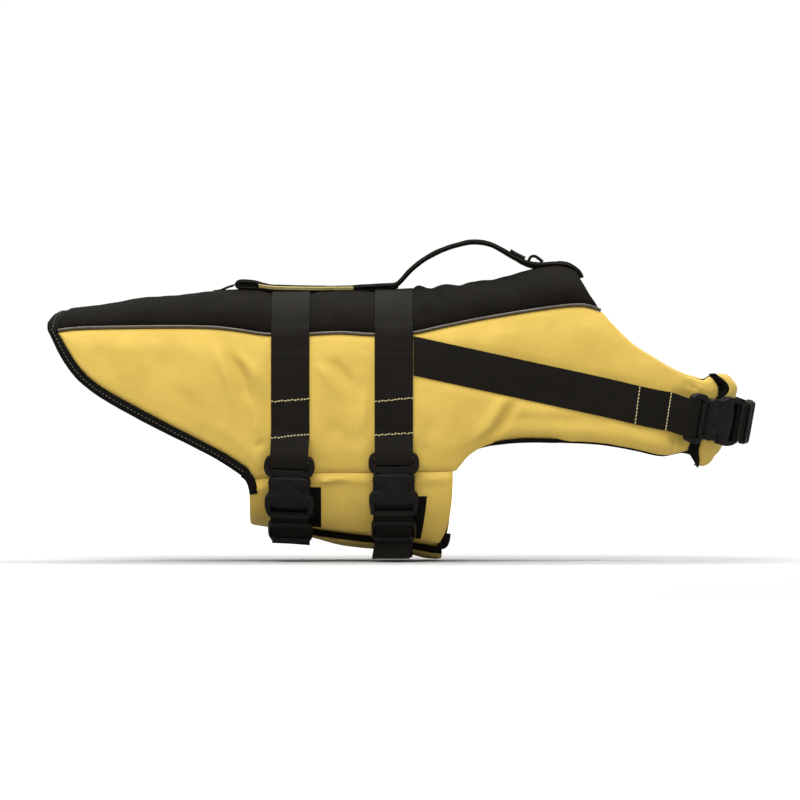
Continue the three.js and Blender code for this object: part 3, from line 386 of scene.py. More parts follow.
class Nodes:
    """Short calls for the nodes of one material, or of the world."""

    def __init__(self, name, home=bpy.data.materials, shader="Principled BSDF"):
        self.made = home.new(name)
        self.made.use_nodes = True
        self.tree = self.made.node_tree
        self.shader = self.tree.nodes[shader]

    def add(self, kind, inputs=None, **settings):
        made = self.tree.nodes.new("ShaderNode" + kind)
        for key, value in settings.items():
            setattr(made, key, value)
        for key, value in (inputs or {}).items():
            if isinstance(value, bpy.types.NodeSocket):
                self.tree.links.new(value, made.inputs[key])
            else:
                made.inputs[key].default_value = value
        return made

    def link(self, value, key):
        self.tree.links.new(value, self.shader.inputs[key])

    def math(self, operation, a, b=0.5):
        return self.add("Math", {0: a, 1: b}, operation=operation).outputs[0]

    def plus(self, a, b, share=1.0):
        """a and a share of b."""
        return self.add("Math", {0: b, 1: share, 2: a}, operation="MULTIPLY_ADD").outputs[0]

    def mix(self, share, a, b, most=1.0):
        """The colour a, and b up to a share of most."""
        if most != 1:
            share = self.math("MULTIPLY", share, most)
        colours = {k: v if isinstance(v, bpy.types.NodeSocket) else (*v, 1) for k, v in ((6, a), (7, b))}
        return self.add("Mix", {0: share, **colours}, data_type="RGBA").outputs[2]

    def ramp(self, value, low, high, start=0.0, end=1.0):
        return self.add("MapRange", {0: value, 1: low, 2: high, 3: start, 4: end}).outputs[0]

    def bands(self, where, period, direction="X"):
        """Even waves across a coordinate in metres, one in each period of millimetres."""
        values = {"Vector": where, "Scale": math.pi / 10 / (period * MM)}
        return self.add("TexWave", values, bands_direction=direction).outputs["Fac"]

    def noise(self, where, size, detail=2.0):
        values = {"Vector": where, "Scale": 1 / (size * MM), "Detail": detail}
        return self.add("TexNoise", values).outputs["Fac"]

    def uv(self):
        return self.add("UVMap", uv_map="cloth").outputs[0]

    def place(self):
        return self.add("TexCoord").outputs["Object"]

    def bump(self, height, depth, strength=1.0, under=None):
        values = {"Height": height, "Distance": depth * MM, "Strength": strength}
        if under is not None:
            values["Normal"] = under
        return self.add("Bump", values).outputs[0]

    def finish(self, roughness, specular=0.5, sheen=0.0, sheen_roughness=0.5, metallic=0.0):
        values = {"Roughness": roughness, "Specular IOR Level": specular, "Sheen Weight": sheen}
        values |= {"Sheen Roughness": sheen_roughness, "Metallic": metallic}
        for key, value in values.items():
            self.shader.inputs[key].default_value = value
        return self.made


def woven(name, colour, shade, thread=0.9, depth=0.12, grid=None, roughness=0.7, sheen=0.2, specular=0.12):
    """Plain-woven nylon: threads both ways, a faint grid of thicker threads, mottling and fine crumples."""
    n = Nodes(name)
    uv, place = n.uv(), n.place()
    weave = n.math("MULTIPLY", n.bands(uv, thread, "X"), n.bands(uv, thread, "Y"))
    slub = n.noise(n.add("Mapping", {"Vector": uv, "Scale": (1.0, 0.12, 1.0)}).outputs[0], 1.1, 3)
    mottle = n.noise(place, 42, 4)
    worn = n.noise(place, 7, 5)
    tone = n.mix(n.ramp(mottle, 0.3, 0.75), colour, shade)
    tone = n.mix(n.ramp(slub, 0.45, 0.75), tone, shade, 0.22)
    height = n.plus(weave, slub, 0.8)
    if grid:
        lines = n.ramp(n.math("MAXIMUM", n.bands(uv, grid, "X"), n.bands(uv, grid, "Y")), 0.965, 1.0)
        tone = n.mix(lines, tone, shade, 0.16)
        height = n.plus(height, lines)
    n.link(tone, "Base Color")
    n.link(n.bump(height, depth, 0.6, n.bump(n.plus(worn, mottle, 2.0), 0.25)), "Normal")
    return n.finish(roughness, specular=specular, sheen=sheen, sheen_roughness=0.45)


def webbing(name, colour, shade, rib=1.9, roughness=0.62):
    """Ribbed webbing: cords across, a fine zigzag in each, and fuzz."""
    n = Nodes(name)
    uv, place = n.uv(), n.place()
    ribs = n.bands(uv, rib, "Y")
    height = n.plus(ribs, n.bands(uv, 1.4, "X"), 0.45)
    height = n.plus(height, n.bands(uv, 2.8, "DIAGONAL"), 0.35)
    height = n.plus(height, n.noise(place, 0.8, 3), 0.4)
    tone = n.mix(n.ramp(n.noise(place, 26, 4), 0.35, 0.75), colour, shade)
    n.link(n.mix(ribs, shade, tone, 0.35), "Base Color")
    n.link(n.bump(height, 0.2, 0.8), "Normal")
    return n.finish(roughness, specular=0.045, sheen=0.004, sheen_roughness=0.4)


def moulded(name, colour):
    """Moulded nylon: fine spark texture, slight flow marks and rubbed places."""
    n = Nodes(name)
    place = n.place()
    scuff = n.ramp(n.noise(place, 3, 6), 0.62, 0.8)
    n.link(n.mix(scuff, colour, tuple(c * 1.8 for c in colour), 0.3), "Base Color")
    n.link(n.ramp(n.plus(n.noise(place, 14, 3), scuff), -1.2, 2.6), "Roughness")
    n.link(n.bump(n.noise(place, 0.5, 2), 0.05, 0.5), "Normal")
    return n.finish(0.36, specular=0.1)


def napped(name, colour, shade):
    """Loop tape: a dense matt pile of small loops."""
    n = Nodes(name)
    place = n.place()
    loops = n.add("TexVoronoi", {"Vector": place, "Scale": 1 / (1.1 * MM)}).outputs["Distance"]
    tone = n.mix(n.ramp(loops, 0.1, 0.7), shade, colour)
    n.link(n.mix(n.ramp(n.noise(place, 12, 3), 0.4, 0.7), tone, shade, 0.4), "Base Color")
    n.link(n.bump(n.plus(n.noise(place, 0.5, 2), loops), 0.5, 0.7), "Normal")
    return n.finish(0.92, specular=0.02, sheen=0.008, sheen_roughness=0.6)


def thread(name, colour, shade):
    """Twisted sewing thread."""
    n = Nodes(name)
    twist = n.bands(n.place(), 0.5, "DIAGONAL")
    n.link(n.mix(twist, colour, shade, 0.5), "Base Color")
    n.link(n.bump(twist, 0.08, 0.6), "Normal")
    return n.finish(0.55, specular=0.4, sheen=0.2)


def reflective(name, colour, shade):
    """Grey reflective cord cover: glass beads under fine creases."""
    n = Nodes(name)
    place = n.place()
    folds = n.noise(place, 4, 4)
    n.link(n.mix(n.ramp(folds, 0.3, 0.75), colour, shade), "Base Color")
    n.link(n.bump(n.plus(n.noise(place, 0.35, 2), folds, 2.0), 0.12, 0.7), "Normal")
    return n.finish(0.42, specular=0.6, metallic=0.15)


YELLOW_TONES = (0.525, 0.365, 0.074), (0.45, 0.306, 0.059)
YELLOW = woven("yellow_nylon", *YELLOW_TONES, grid=6.2, roughness=0.62, sheen=0.08)
BLACK_TONES = (0.0066, 0.0055, 0.0038), (0.0044, 0.0037, 0.0026)
BLACK = woven("black_nylon", *BLACK_TONES, depth=0.14, roughness=0.62, sheen=0.002, specular=0.02)
LINING_TONES = (0.005, 0.0045, 0.0038), (0.003, 0.0028, 0.0024)
LINING = woven("black_lining", *LINING_TONES, thread=1.3, sheen=0.003, specular=0.02)
BINDING = webbing("binding_tape", (0.006, 0.0052, 0.004), (0.0035, 0.003, 0.0025), rib=1.2, roughness=0.7)
WEBBING = webbing("strap_webbing", (0.0135, 0.0112, 0.0084), (0.0065, 0.0055, 0.0042))
PLASTIC = moulded("buckle_plastic", (0.0042, 0.0037, 0.0029))
LOOPS = napped("loop_tape", (0.0062, 0.0054, 0.0043), (0.0022, 0.002, 0.0017))
THREAD = thread("pale_thread", (0.42, 0.36, 0.17), (0.28, 0.22, 0.09))
DARK_THREAD = thread("dark_thread", (0.085, 0.075, 0.05), (0.04, 0.034, 0.024))
PIPING = reflective("grey_piping", (0.074, 0.06, 0.047), (0.036, 0.029, 0.022))
CREAM = woven("cream_lining", (0.56, 0.47, 0.2), (0.46, 0.37, 0.13), roughness=0.6, sheen=0.05)
# Grey tape: the real front tab on the grip, and the painted highlights on the grip's edges and front end
GREY_TAPE_AND_HIGHLIGHT = webbing("grey_tab_and_highlight", (0.045, 0.04, 0.033), (0.02, 0.018, 0.015), rib=1.1)

# Creases as they show from each side: x, z, x, z, width, height
RIGHT_CREASES = (
    (-133, -48, -104, -132, 6.5, 3.4), (-117, -52, -92, -120, 6, -3.2),
    (-112, -56, -76, -100, 6.5, 3.0), (-100, -96, -84, -150, 5.5, 2.2), (-84, -56, -76, -112, 4, 2.2),
    (-92, -128, -70, -168, 7, 1.6), (-88, -158, -72, -150, 4, -2.2), (-84, -172, -74, -186, 3, 1.6),
    (-78, -166, -71, -186, 2.6, -1.6), (-27, -66, 4, -112, 7, 3.6), (-14, -62, 16, -100, 6, -2.2),
    (24, -50, 35, -63, 3.5, -2.4), (30, -90, 12, -150, 8, 2.4), (-24, -140, 26, -156, 12, -1.2),
    (78, -96, 84, -150, 7, 1.4), (80, -150, 92, -172, 5, -1.3), (179, -90, 126, -166, 7, 4.2),
    (187, -99, 148, -156, 5.5, -3.2), (150, -120, 120, -165, 12, 1.3),
    (-225, -60, -180, -118, 13, 1.5), (-180, -92, -150, -142, 12, -1.2),
    (-262, -50, -235, -84, 10, -1.1), (351, -144, 349, -166, 3, -2.6), (371, -90, 379, -106, 3, -2.4),
    (358, -92, 380, -96, 6, -1.6), (300, -66, 345, -88, 9, 1.0), (262, -120, 300, -146, 9, 1.1),
)
LEFT_CREASES = (
    (-140, -52, -112, -122, 7, 3.2), (-98, -66, -78, -118, 5, -2.6), (-90, -130, -72, -172, 6, 1.8),
    (-20, -58, 10, -98, 7, 3.0), (32, -70, 8, -132, 9, -1.7), (-22, -150, 28, -140, 10, 1.2),
    (80, -80, 96, -140, 8, 1.6), (192, -108, 150, -152, 8, 2.8), (-235, -66, -190, -112, 14, 1.6),
    (-172, -88, -146, -150, 11, -1.4), (-270, -54, -240, -80, 9, 1.0), (300, -118, 340, -152, 8, -1.4),
    (240, -44, 300, -78, 11, 1.2), (352, -96, 384, -104, 6, -1.3),
)
STRAPS = ((-73, -31), (36, 77))  # the belly straps' edges
PRESS_REACH = 12.0


def pressed(points):
    """1 under the belly straps, falling to 0 beside them."""
    x, reach = points[..., 0], PRESS_REACH
    return sum(smooth(x, a - reach, a + 1) * (1 - smooth(x, b - 1, b + reach)) for a, b in STRAPS)


CHEST_WEB_TOP = through(((77, -40.2), (176, -61.4), (273, -82.2), (345, -98), (400, -102), (420, -101)))
CHEST_WEB_BOTTOM = through(((77, -81), (176, -102.3), (273, -123.3), (345, -139), (400, -142), (420, -141)))


def under_chest_web(points):
    x, z = points[..., 0], points[..., 2]
    inside = smooth(z, CHEST_WEB_BOTTOM(x) - 9, CHEST_WEB_BOTTOM(x) + 1)
    return inside * (1 - smooth(z, CHEST_WEB_TOP(x) - 1, CHEST_WEB_TOP(x) + 9)) * smooth(x, 74, 80)


def side_grid(side, rows=236, columns=54):
    front = LAP_FRONT if side < 0 else SIDE_FRONT
    station = in_rows(SIDE_REAR, front, rows)
    down = in_columns(0, 1, columns)
    lapped = np.maximum(station - SIDE_FRONT, 0) / (LAP_FRONT - SIDE_FRONT)
    at = np.minimum(station, SIDE_FRONT) + lapped * (lap_at(down) - SIDE_FRONT)
    upper, lower = side_turns(at, side)
    return at, side * (upper + (lower - upper) * down)


PUFF = 2.2  # how far the stuffed sides stand out between their seams
# How far the side cloth reaches down over the leg binding along its edge: station, reach
CLOTH_OVER = ((114, 0), (120, 1.4), (124, 3.4), (144, 3.5), (154, 1.9), (165, 0.4), (175, 0), (205, 0))
CLOTH_OVER += ((225, 0.4), (236, 1.7), (243, 2.8), (252, 2.4), (350, 2.5), (405, 2.2), (440, 0.6), (450, 0))
cloth_over = through(CLOTH_OVER)
SIDE_CLOTH = (YELLOW, LINING)


def leg_line(side):
    return leg_at if side > 0 else lambda x: np.where(x > NOSE_START, lap_lower_at(x), leg_at(x))


def side_panel(side):
    at, turn = side_grid(side)
    base = face_point(at, turn)
    x = base[..., 0]
    before, after, top, foot = edge_distances(base)
    creases = crease_field(base, RIGHT_CREASES if side > 0 else LEFT_CREASES)
    seam = np.minimum(np.minimum(top, foot), before)
    open_end = np.minimum(seam, after + 3)
    free = (1 - pressed(base)) * (1 - 0.85 * under_chest_web(base))
    relief = PUFF * smooth(open_end, 1, 26) * free
    relief += creases * smooth(open_end, 2, 14) * np.maximum(free, 0.15)
    relief += 1.1 * uneven(base, 70, 3 + side) * smooth(open_end, 4, 25) * free
    relief += 0.35 * uneven(base, 22, 9 + side) * smooth(open_end, 3, 12) * free
    relief += pulled(seam, 2.6, 6.5) + pulled(after, 1.6, 4)
    # The lower edge of the chest extension is a fuller roll above its seam
    neck = smooth(x, 150, 190)
    relief += neck * (pulled(foot, 2.4, 12) + 1.8 * bell(foot, 9, 7) - 1.3 * bell(foot, 22, 5))
    # Gathers along the seam with the belly flap
    gather = np.exp(-foot / 11) * smooth(x, -100, -80) * (1 - smooth(x, 100, 119))
    relief += 0.55 * gather * uneven(base * (3.2, 0, 0.5), 18, 21 + side) * free
    over = cloth_over(at) * bell(foot, 0, 4.5) * smooth(at, 116, 121)
    turn = turn + side * over * beside(at, side_turns(at, side)[1], leg_line(side), 1.0)
    tuck = tuck_at(at, side)
    inner = -tuck - SIDE_WALL + 0.5 * uneven(base, 40, 31 + side) - pulled(seam, 1.2, 6)
    name = side_name(side)
    made = over_form("side_cloth_" + name, at, turn, relief - tuck, inner, SIDE_CLOTH, "side_panel_" + name)


def back_limit(at):
    edge = turn_on_line(at, piping_at)
    return edge - beside(at, edge, piping_at, PIPING_WIDTH / 2 + SEAM_GAP + 0.15)


REAR_LIMIT = back_limit(np.array(BACK_REAR - REAR_SWEEP))
REAR_FULL = 5.2  # how much farther back the worn rear edge reaches between its corners


def back_rear_at(turn):
    part = np.minimum(np.abs(turn) / REAR_LIMIT, 1.1)
    return BACK_REAR - REAR_FULL * (1 - np.minimum(part, 1) ** 4) - REAR_SWEEP * part**2


BACK_CREASES = (
    (76, 8, 92, -20, 6, 2.0), (96, 12, 106, -14, 5, -1.6), (120, 14, 150, -12, 8, 1.4),
    (-20, -4, 10, -26, 8, 1.0), (-92, 6, -82, -24, 6, 1.2), (160, 18, 190, -4, 9, -1.0),
    (-230, -10, -190, -24, 12, 0.9),
)
# Small ripples along the spine just before the grip: station, height, width
SPINE_RIPPLES = ((82, 3.6, 6), (96, -2.0, 6), (111, 0.6, 6), (127, -2.8, 7), (143, -0.2, 8))
SPINE_RIPPLES += ((161, -1.6, 9), (236, 2.6, 15), (248, 1.8, 7))


def back_panel():
    along = in_rows(0, 1, 190)
    across = in_columns(-1, 1, 66)
    start = back_rear_at(across * REAR_LIMIT)
    end = BACK_FRONT + FRONT_SWEEP * np.abs(across) ** 1.6
    at = start + (end - start) * along
    turn = across * back_limit(at)
    base = face_point(at, turn)
    before, after, right, left = edge_distances(base)
    seam = np.minimum(right, left)
    free = 1 - pressed(base)
    relief = 1.5 * smooth(seam, 1, 20) * smooth(after, 1, 14) * free
    relief += crease_field(base, BACK_CREASES) * free * smooth(seam, 3, 14)
    relief += 0.9 * uneven(base, 60, 41) * free * smooth(seam, 3, 18) * smooth(after, 3, 14)
    relief += 0.35 * uneven(base, 18, 43) * free * smooth(seam, 2, 10)
    middle = bell(base[..., 1], 0, 34)
    for station, height, width in SPINE_RIPPLES:
        relief += height * middle * bell(at, station, width)
    relief += pulled(seam, 2.2, 6) + pulled(after, 2.4, 6) + pulled(before, 1.0, 4)
    inner = -BACK_WALL + 0.5 * uneven(base, 40, 47) - pulled(seam, 2.4, 8)
    made = over_form("back_cloth", at, turn, relief, inner, (BLACK, LINING), "back_panel")


def piping(side):
    """A round bead in the seam, with its stitching margin sunk between the panels."""
    at = in_rows(SIDE_REAR, PIPING_FRONT, 250)
    middle = turn_on_line(at, piping_at)
    per = beside(at, middle, piping_at, 1.0)
    profile = in_columns(-1, 1, 9)
    wave = 0.12 * uneven(face_point(at, middle), 24, 51 + side)
    turn = side * (middle + per * profile * PIPING_WIDTH / 2 * 1.05)
    bead = np.sqrt(1 - np.clip(profile, -1, 1) ** 2 * 0.999)
    low = np.full(turn.shape, -SIDE_WALL / 2)
    name = side_name(side)
    over_form("piping_bead_" + name, at, turn, -0.9 + 2.3 * bead + wave, low, (PIPING,), "piping_" + name)


def build_panels():
    for side in (1, -1):
        side_panel(side)
        piping(side)
    back_panel()


# Edges, flaps and straps


def finer(points, step):
    """A grid made finer along its first axis."""
    lengths = run_lengths(points[:, points.shape[1] // 2])
    return curve(lengths, points, np.linspace(0, lengths[-1], max(int(lengths[-1] / step), 2)))


def ribbon(name, path, thick, material, node=None, step=2.5, edge=0.9, waver=0.12, seed=1):
    """Webbing along a grid of points (along, across), with rounded selvedges."""
    path = finer(path, step)
    width = np.linalg.norm(path[:, -1] - path[:, 0], axis=-1).mean()
    out = unit(np.cross(np.gradient(path, axis=1), np.gradient(path, axis=0)))
    u = np.linspace(-1, 1, path.shape[1])[None, :, None]
    inside = np.clip((1 - np.abs(u)) * width / 2 / edge, 0, 1)
    half = thick / 2 * np.sqrt(1 - (1 - inside) ** 2 * 0.95)
    wave = (waver * uneven(path, 17, seed))[..., None]
    return grid_piece(name, path + out * (half + wave), path - out * (half - wave), (material,), node)


def cord(name, path, radius, material, sides=8):
    """A thin round cord along points."""
    path = finer(path[:, None, :], 2.0)[:, 0]
    run = unit(np.gradient(path, axis=0))
    side = unit(np.cross(run, np.array((0.13, 0.21, 0.97))))
    other = np.cross(run, side)
    turns = np.linspace(0, 2 * math.pi, sides, endpoint=False)
    ring = side[:, None] * np.cos(turns)[None, :, None] + other[:, None] * np.sin(turns)[None, :, None]
    verts = (path[:, None] + ring * radius).reshape(-1, 3)
    return finish_mesh(name, new_mesh(name, verts, ring_faces(0, len(path), sides)), (material,))


STITCH_RING = 6
# Along one stitch: share of its length, girth
STITCH_PROFILE = ((-0.5, 0.25), (-0.32, 0.85), (0.0, 1.0), (0.32, 0.85), (0.5, 0.25))


def stitches(name, runs, material, length=3.2, gap=0.5, radius=0.4, sink=0.35, jitter=0.12, seed=5):
    """Separate stitches along runs of (points, normals), each a short rounded length of thread."""
    draw = np.random.default_rng(seed)
    verts, faces = [], []
    turns = np.linspace(0, 2 * math.pi, STITCH_RING, endpoint=False)
    for points, normals in runs:
        lengths = run_lengths(points)
        count = max(int(lengths[-1] / (length + gap)), 1)
        middles = (np.arange(count) + 0.5) / count * lengths[-1]
        ends = [curve(lengths, points, np.clip(middles + d, 0, lengths[-1])) for d in (-0.5, 0.5)]
        places = curve(lengths, points, middles)
        outs = unit(curve(lengths, normals, middles))
        for place, out, a, b in zip(places, outs, *ends):
            run = unit(b - a)
            run = unit(run + np.cross(out, run) * draw.normal(0, jitter))
            side = np.cross(out, run)
            ring = [side * math.cos(turn) + out * math.sin(turn) * 0.8 for turn in turns]
            faces += ring_faces(len(verts), len(STITCH_PROFILE), STITCH_RING)
            for share, size in STITCH_PROFILE:
                centre = place + run * share * length + out * (radius * 0.5 - sink * (2 * abs(share)) ** 2)
                verts += [centre + radius * size * way for way in ring]
    return finish_mesh(name, new_mesh(name, verts, faces), (material,), angle=80)


# A folded tape over an edge, from its outer edge to the cloth: share of its width, outer and inner height
BOUND = np.array(
    [
        (0.0, -1.6, -3.4), (0.05, -0.5, -4.6), (0.14, 0.5, -5.3), (0.3, 1.0, -5.7), (0.55, 1.05, -5.7),
        (0.72, 0.95, -5.7), (0.9, 0.75, -5.6), (0.97, 0.45, -5.5), (1.03, -0.5, -5.0),
    ]
)
BINDING_REAR, BINDING_SWEEP = -294.0, 11.5
CORNER_BULGE = 1.7  # the soft corners of the rear binding stand out this far
STITCH_SHARE, STITCH_HEIGHT = 0.56, 1.15  # where the stitches run across the tape, and how high
# The rounding of the swept tip, and what takes its sweep from 0 in the middle to 1 at the corners
TIP_ROUND, TIP_START, TIP_RISE = 0.02, 0.141, 0.869
LEG_BINDING_START, LEG_BINDING_ENDS, LEG_BINDING_SINK = 122.5, {1: 371, -1: 431}, 3.2


def rear_binding_grid():
    """Stations and turns of the rear binding's outer and inner edges, from the right corner round."""
    rows = np.arange(len(REAR_BINDING))
    x_at, z_at, in_x_at = (through(rows, REAR_BINDING[:, i]) for i in (0, 1, 2))
    row = np.linspace(len(rows) - 1, 0, 150)
    x, in_x = x_at(row), in_x_at(row)
    out_turn, in_turn = turn_at(x, z_at(row)), turn_at(in_x, rear_inner_at(in_x) - 0.5)
    x = x - CORNER_BULGE * bell(row, 0, 1.1)
    across = np.linspace(1, -1, 46)[1:-1]
    tip_x = BINDING_REAR - BINDING_SWEEP * (np.sqrt(across**2 + TIP_ROUND) - TIP_START) / TIP_RISE
    tip_x -= CORNER_BULGE * bell(np.abs(across), 1, 0.45)
    tip_x -= REAR_FULL * (1 - across**4) * (1 + 0.2 * bell(np.abs(across), 0.6, 0.25))
    tip_in = back_rear_at(across * in_turn[-1]) - 2 * SEAM_GAP
    outer_at = np.concatenate([x, tip_x, x[::-1]])
    outer_turn = np.concatenate([out_turn, across * out_turn[-1], -out_turn[::-1]])
    inner_at = np.concatenate([in_x, tip_in, in_x[::-1]])
    inner_turn = np.concatenate([in_turn, across * in_turn[-1], -in_turn[::-1]])
    return outer_at, outer_turn, inner_at, inner_turn


def rear_binding():
    outer_at, outer_turn, inner_at, inner_turn = rear_binding_grid()
    share = BOUND[None, :, 0]
    at = between(outer_at[:, None], inner_at[:, None], share)
    turn = between(outer_turn[:, None], inner_turn[:, None], share)
    base = face_point(at, turn)
    wave = 0.3 * uneven(base, 16, 61) + 0.25 * uneven(base, 7, 62)
    outer, inner = BOUND[None, :, 1] + wave, BOUND[None, :, 2] + 0.3 * wave
    over_form("rear_binding_tape", at, turn, outer, inner, (BINDING,), "rear_binding")
    at, turn = between(outer_at, inner_at, STITCH_SHARE), between(outer_turn, inner_turn, STITCH_SHARE)
    runs = [(raised(at, turn, np.full(at.shape, STITCH_HEIGHT)), face_normal(at, turn))]
    stitches("rear_binding_stitches", runs, DARK_THREAD, length=2.6, gap=1.7, radius=0.38)


# Short tapes: places (x, z) along the middle, width
TURNED_END = ((-101, -183), (-96, -187), (-92.6, -193), (-91, -199), (-90.2, -204)), 9.0
HOOKED_END = ((102.5, -261), (108, -261.5), (111.5, -258.5), (113, -253), (113.4, -248)), 6.2


def short_tape(name, places, width, sign, out):
    """A folded tape end that lies on the form, bound like the edge that it comes from."""
    fine = finer(np.array(places, float)[:, None, :], 1.2)[:, 0]
    run = unit(np.gradient(fine, axis=0))
    share = (BOUND[None, :, 0] - 0.5) * width
    x, z = fine[:, :1] - run[:, 1:] * share, fine[:, 1:] + run[:, :1] * share
    turn = turn_at(x, z)
    base = face_point(x, turn)
    base[..., 0], base[..., 2] = x, z
    normal = face_normal(x, turn)
    wave = 0.25 * uneven(base, 7, 63)
    rises = BOUND[None, :, 1] + wave, np.broadcast_to(BOUND[None, :, 2] * 0.3, wave.shape)
    grids = [(base + normal * (out + rise)[..., None]) * (1, sign, 1) for rise in rises]
    grid_piece(name, *grids, (BINDING,))


def trim_ends():
    for sign in (1, -1):
        short_tape("rear_binding_end_" + side_name(sign), *TURNED_END, sign, 1.8)
    short_tape("belly_binding_end", *HOOKED_END, 1, -1.0)


def leg_binding(side):
    at = in_rows(LEG_BINDING_START, LEG_BINDING_ENDS[side], 150)
    _, lower = side_turns(at, side)
    near = beside(at, lower, leg_line(side), SEAM_GAP - 0.6)
    far = beside(at, lower, leg_line(side), SEAM_GAP + LEG_BINDING_WIDTH)
    share = in_columns(0, 1, 7)
    turn = side * (lower + near + (far - near) * share)
    wave = 0.3 * uneven(face_point(at, turn), 15, 71 + side)
    tuck = tuck_at(at, side)
    sunk = tuck + LEG_BINDING_SINK * smooth(cloth_over(at), 0, 1.4)
    outer = -0.9 - 0.6 * share**4 + 0.5 * np.sin(share * math.pi) + wave - sunk
    inner = -SIDE_WALL + 0.8 * share**3 + wave * 0.4 - tuck
    name = side_name(side)
    over_form("leg_binding_tape_" + name, at, turn, outer, inner, (LINING,), "leg_binding_" + name)


def flap_front(down):
    return FLAP_FRONT - FLAP_TAPER * down**2.2


RIGHT_FLAP_CREASES = (
    (-26, -192, 14, -190, 4.5, 2.4), (-24, -199, 18, -195, 4.5, -1.4), (-88, -196, -80, -214, 6, 1.3),
    (-4, -204, -10, -240, 10, 1.1), (96, -196, 92, -240, 8, 0.9), (14, -210, 18, -246, 8, -0.8),
)


def right_flap():
    along = in_rows(0, 1, 90)
    last = STEP_ABOVE + UNDERLAP
    extra = np.concatenate([np.zeros(30), np.linspace(0.8, last, 26)])[None, :]
    down = np.concatenate([np.linspace(0, 1, 30), np.ones(26)])[None, :]
    at = FLAP_REAR + (flap_front(down) - FLAP_REAR) * along
    seam, hem = turn_on_line(at, belly_seam_at), turn_at(at, hem_at(at))
    start, step = seam + turn_for(at, seam, SEAM_GAP), hem - turn_for(at, hem, STEP_ABOVE)
    turn = start + (step - start) * down + turn_for(at, hem, extra)
    lapped = smooth(extra, 0, STEP_LENGTH) * smooth(at, STEP_REAR_FROM, STEP_REAR_TO)
    base = face_point(at, turn)
    before, after, top, _ = edge_distances(base)
    edge = np.minimum(before, after)
    relief = -lapped * (FLAP_WALL + LAP_GAP) + pulled(top, 2.4, 5) + pulled(edge, 1.4, 4)
    relief += 1.6 * bell(top, 8, 5) * smooth(edge, 1, 10)
    relief += crease_field(base, RIGHT_FLAP_CREASES) * smooth(top, 1, 8) * (1 - lapped)
    relief += 0.7 * uneven(base, 42, 81) * smooth(edge, 2, 16) * smooth(top, 2, 10)
    inner = np.minimum(relief, -lapped * (FLAP_WALL + LAP_GAP)) - FLAP_WALL
    made = over_form("belly_cloth_right", at, turn, relief, inner, SIDE_CLOTH, "belly_flap_right")


def left_flap():
    along = in_rows(0, 1, 90)
    round_ = in_columns(0, 1, 84)
    rear = FLAP_REAR + (LEFT_LAP_REAR - FLAP_REAR) * round_**1.5
    at = rear + (flap_front(LEFT_LAP_SHARE * np.minimum(round_ / LEFT_TAPERED, 1)) - rear) * along
    seam, hem = turn_on_line(at, belly_seam_at), turn_at(at, hem_at(at))
    start = seam + turn_for(at, seam, SEAM_GAP)
    end = 2 * math.pi - hem - turn_for(at, hem, BELLY_BINDING_WIDTH + SEAM_GAP)
    turn = -(start + (end - start) * round_)
    base = face_point(at, turn)
    before, after, top, foot = edge_distances(base)
    edge = np.minimum(before, after)
    relief = pulled(top, 2.4, 5) + pulled(edge, 1.4, 4) + pulled(foot, 1.0, 5)
    relief += 1.5 * bell(top, 8, 5) * smooth(edge, 1, 10) * (1 - pressed(base))
    relief += 0.9 * uneven(base, 46, 91) * smooth(edge, 2, 16) * smooth(top, 2, 10) * (1 - pressed(base))
    inner = np.minimum(relief, 0) * 0.5 - FLAP_WALL
    made = over_form("belly_cloth_left", at, turn, relief, inner, SIDE_CLOTH, "belly_flap_left")


def belly_binding():
    along = in_rows(0, 1, 90)
    share = BOUND[None, :, 0]
    at = LEFT_LAP_REAR + (flap_front(LEFT_LAP_SHARE) - LEFT_LAP_REAR) * along
    hem = turn_at(at, hem_at(at))
    turn = hem + turn_for(at, hem, share * BELLY_BINDING_WIDTH)
    wave = 0.35 * uneven(face_point(at, turn), 15, 95)
    outer = BOUND[None, :, 1] * 0.9 + wave
    inner = np.maximum(BOUND[None, :, 2], 0.7 - FLAP_WALL) + 0.2 * wave
    over_form("belly_binding_tape", at, turn, outer, inner, (BINDING,), "belly_binding")


# name, rear end, front end, taper, top, and the cut in metres
PATCHES = (
    ("patch_rear", -68, -19.5, 0, -197.5, (0.0485, 0.056)),
    ("patch_front", 35, 91.5, 7, -207, (0.053, 0.0495)),
)
PATCH_ABOVE_HEM = 15.0


def patch(name, start, end, taper, top, flat):
    along = in_rows(0, 1, 26)
    down = in_columns(0, 1, 26)
    at = start + (end - taper * down - start) * along
    hem = turn_at(at, hem_at(at))
    foot = hem - turn_for(at, hem, PATCH_ABOVE_HEM)
    turn = between(turn_at(at, top), foot, down)
    base = face_point(at, turn)
    wave = 0.3 * uneven(base, 20, 97)
    edge = np.minimum.reduce(edge_distances(base))
    outer, inner = 1.3 + wave + pulled(edge, 0.7, 1.6), SEAM_GAP * 0.2 + wave * 0.2
    made = over_form(name + "_tape", at, turn, outer, inner, (LOOPS,), name)


# Buckle frames: u across the web, v along it to its sewn end, n outwards


class Place:
    def __init__(self, origin, v, n, u=None):
        self.origin, self.n = np.array(origin, float), unit(np.array(n, float))
        self.u = unit(np.cross(v, self.n)) if u is None else u
        self.v = np.cross(self.n, self.u)

    def at(self, u, v, n):
        u, v, n = (value[..., None] for value in arrays(u, v, n))
        return self.origin + u * self.u + v * self.v + n * self.n

    def stepped(self, v, n, tip):
        """Moved along itself and tipped about its u axis."""
        spin = np.array(Matrix.Rotation(tip, 3, Vector(self.u)))
        return Place(self.at(0, v, n), spin @ self.v, spin @ self.n, self.u)

    def matrix(self):
        basis = np.eye(4)
        basis[:3, 0], basis[:3, 1], basis[:3, 2], basis[:3, 3] = self.u, self.v, self.n, self.origin * MM
        return Matrix(basis.tolist())


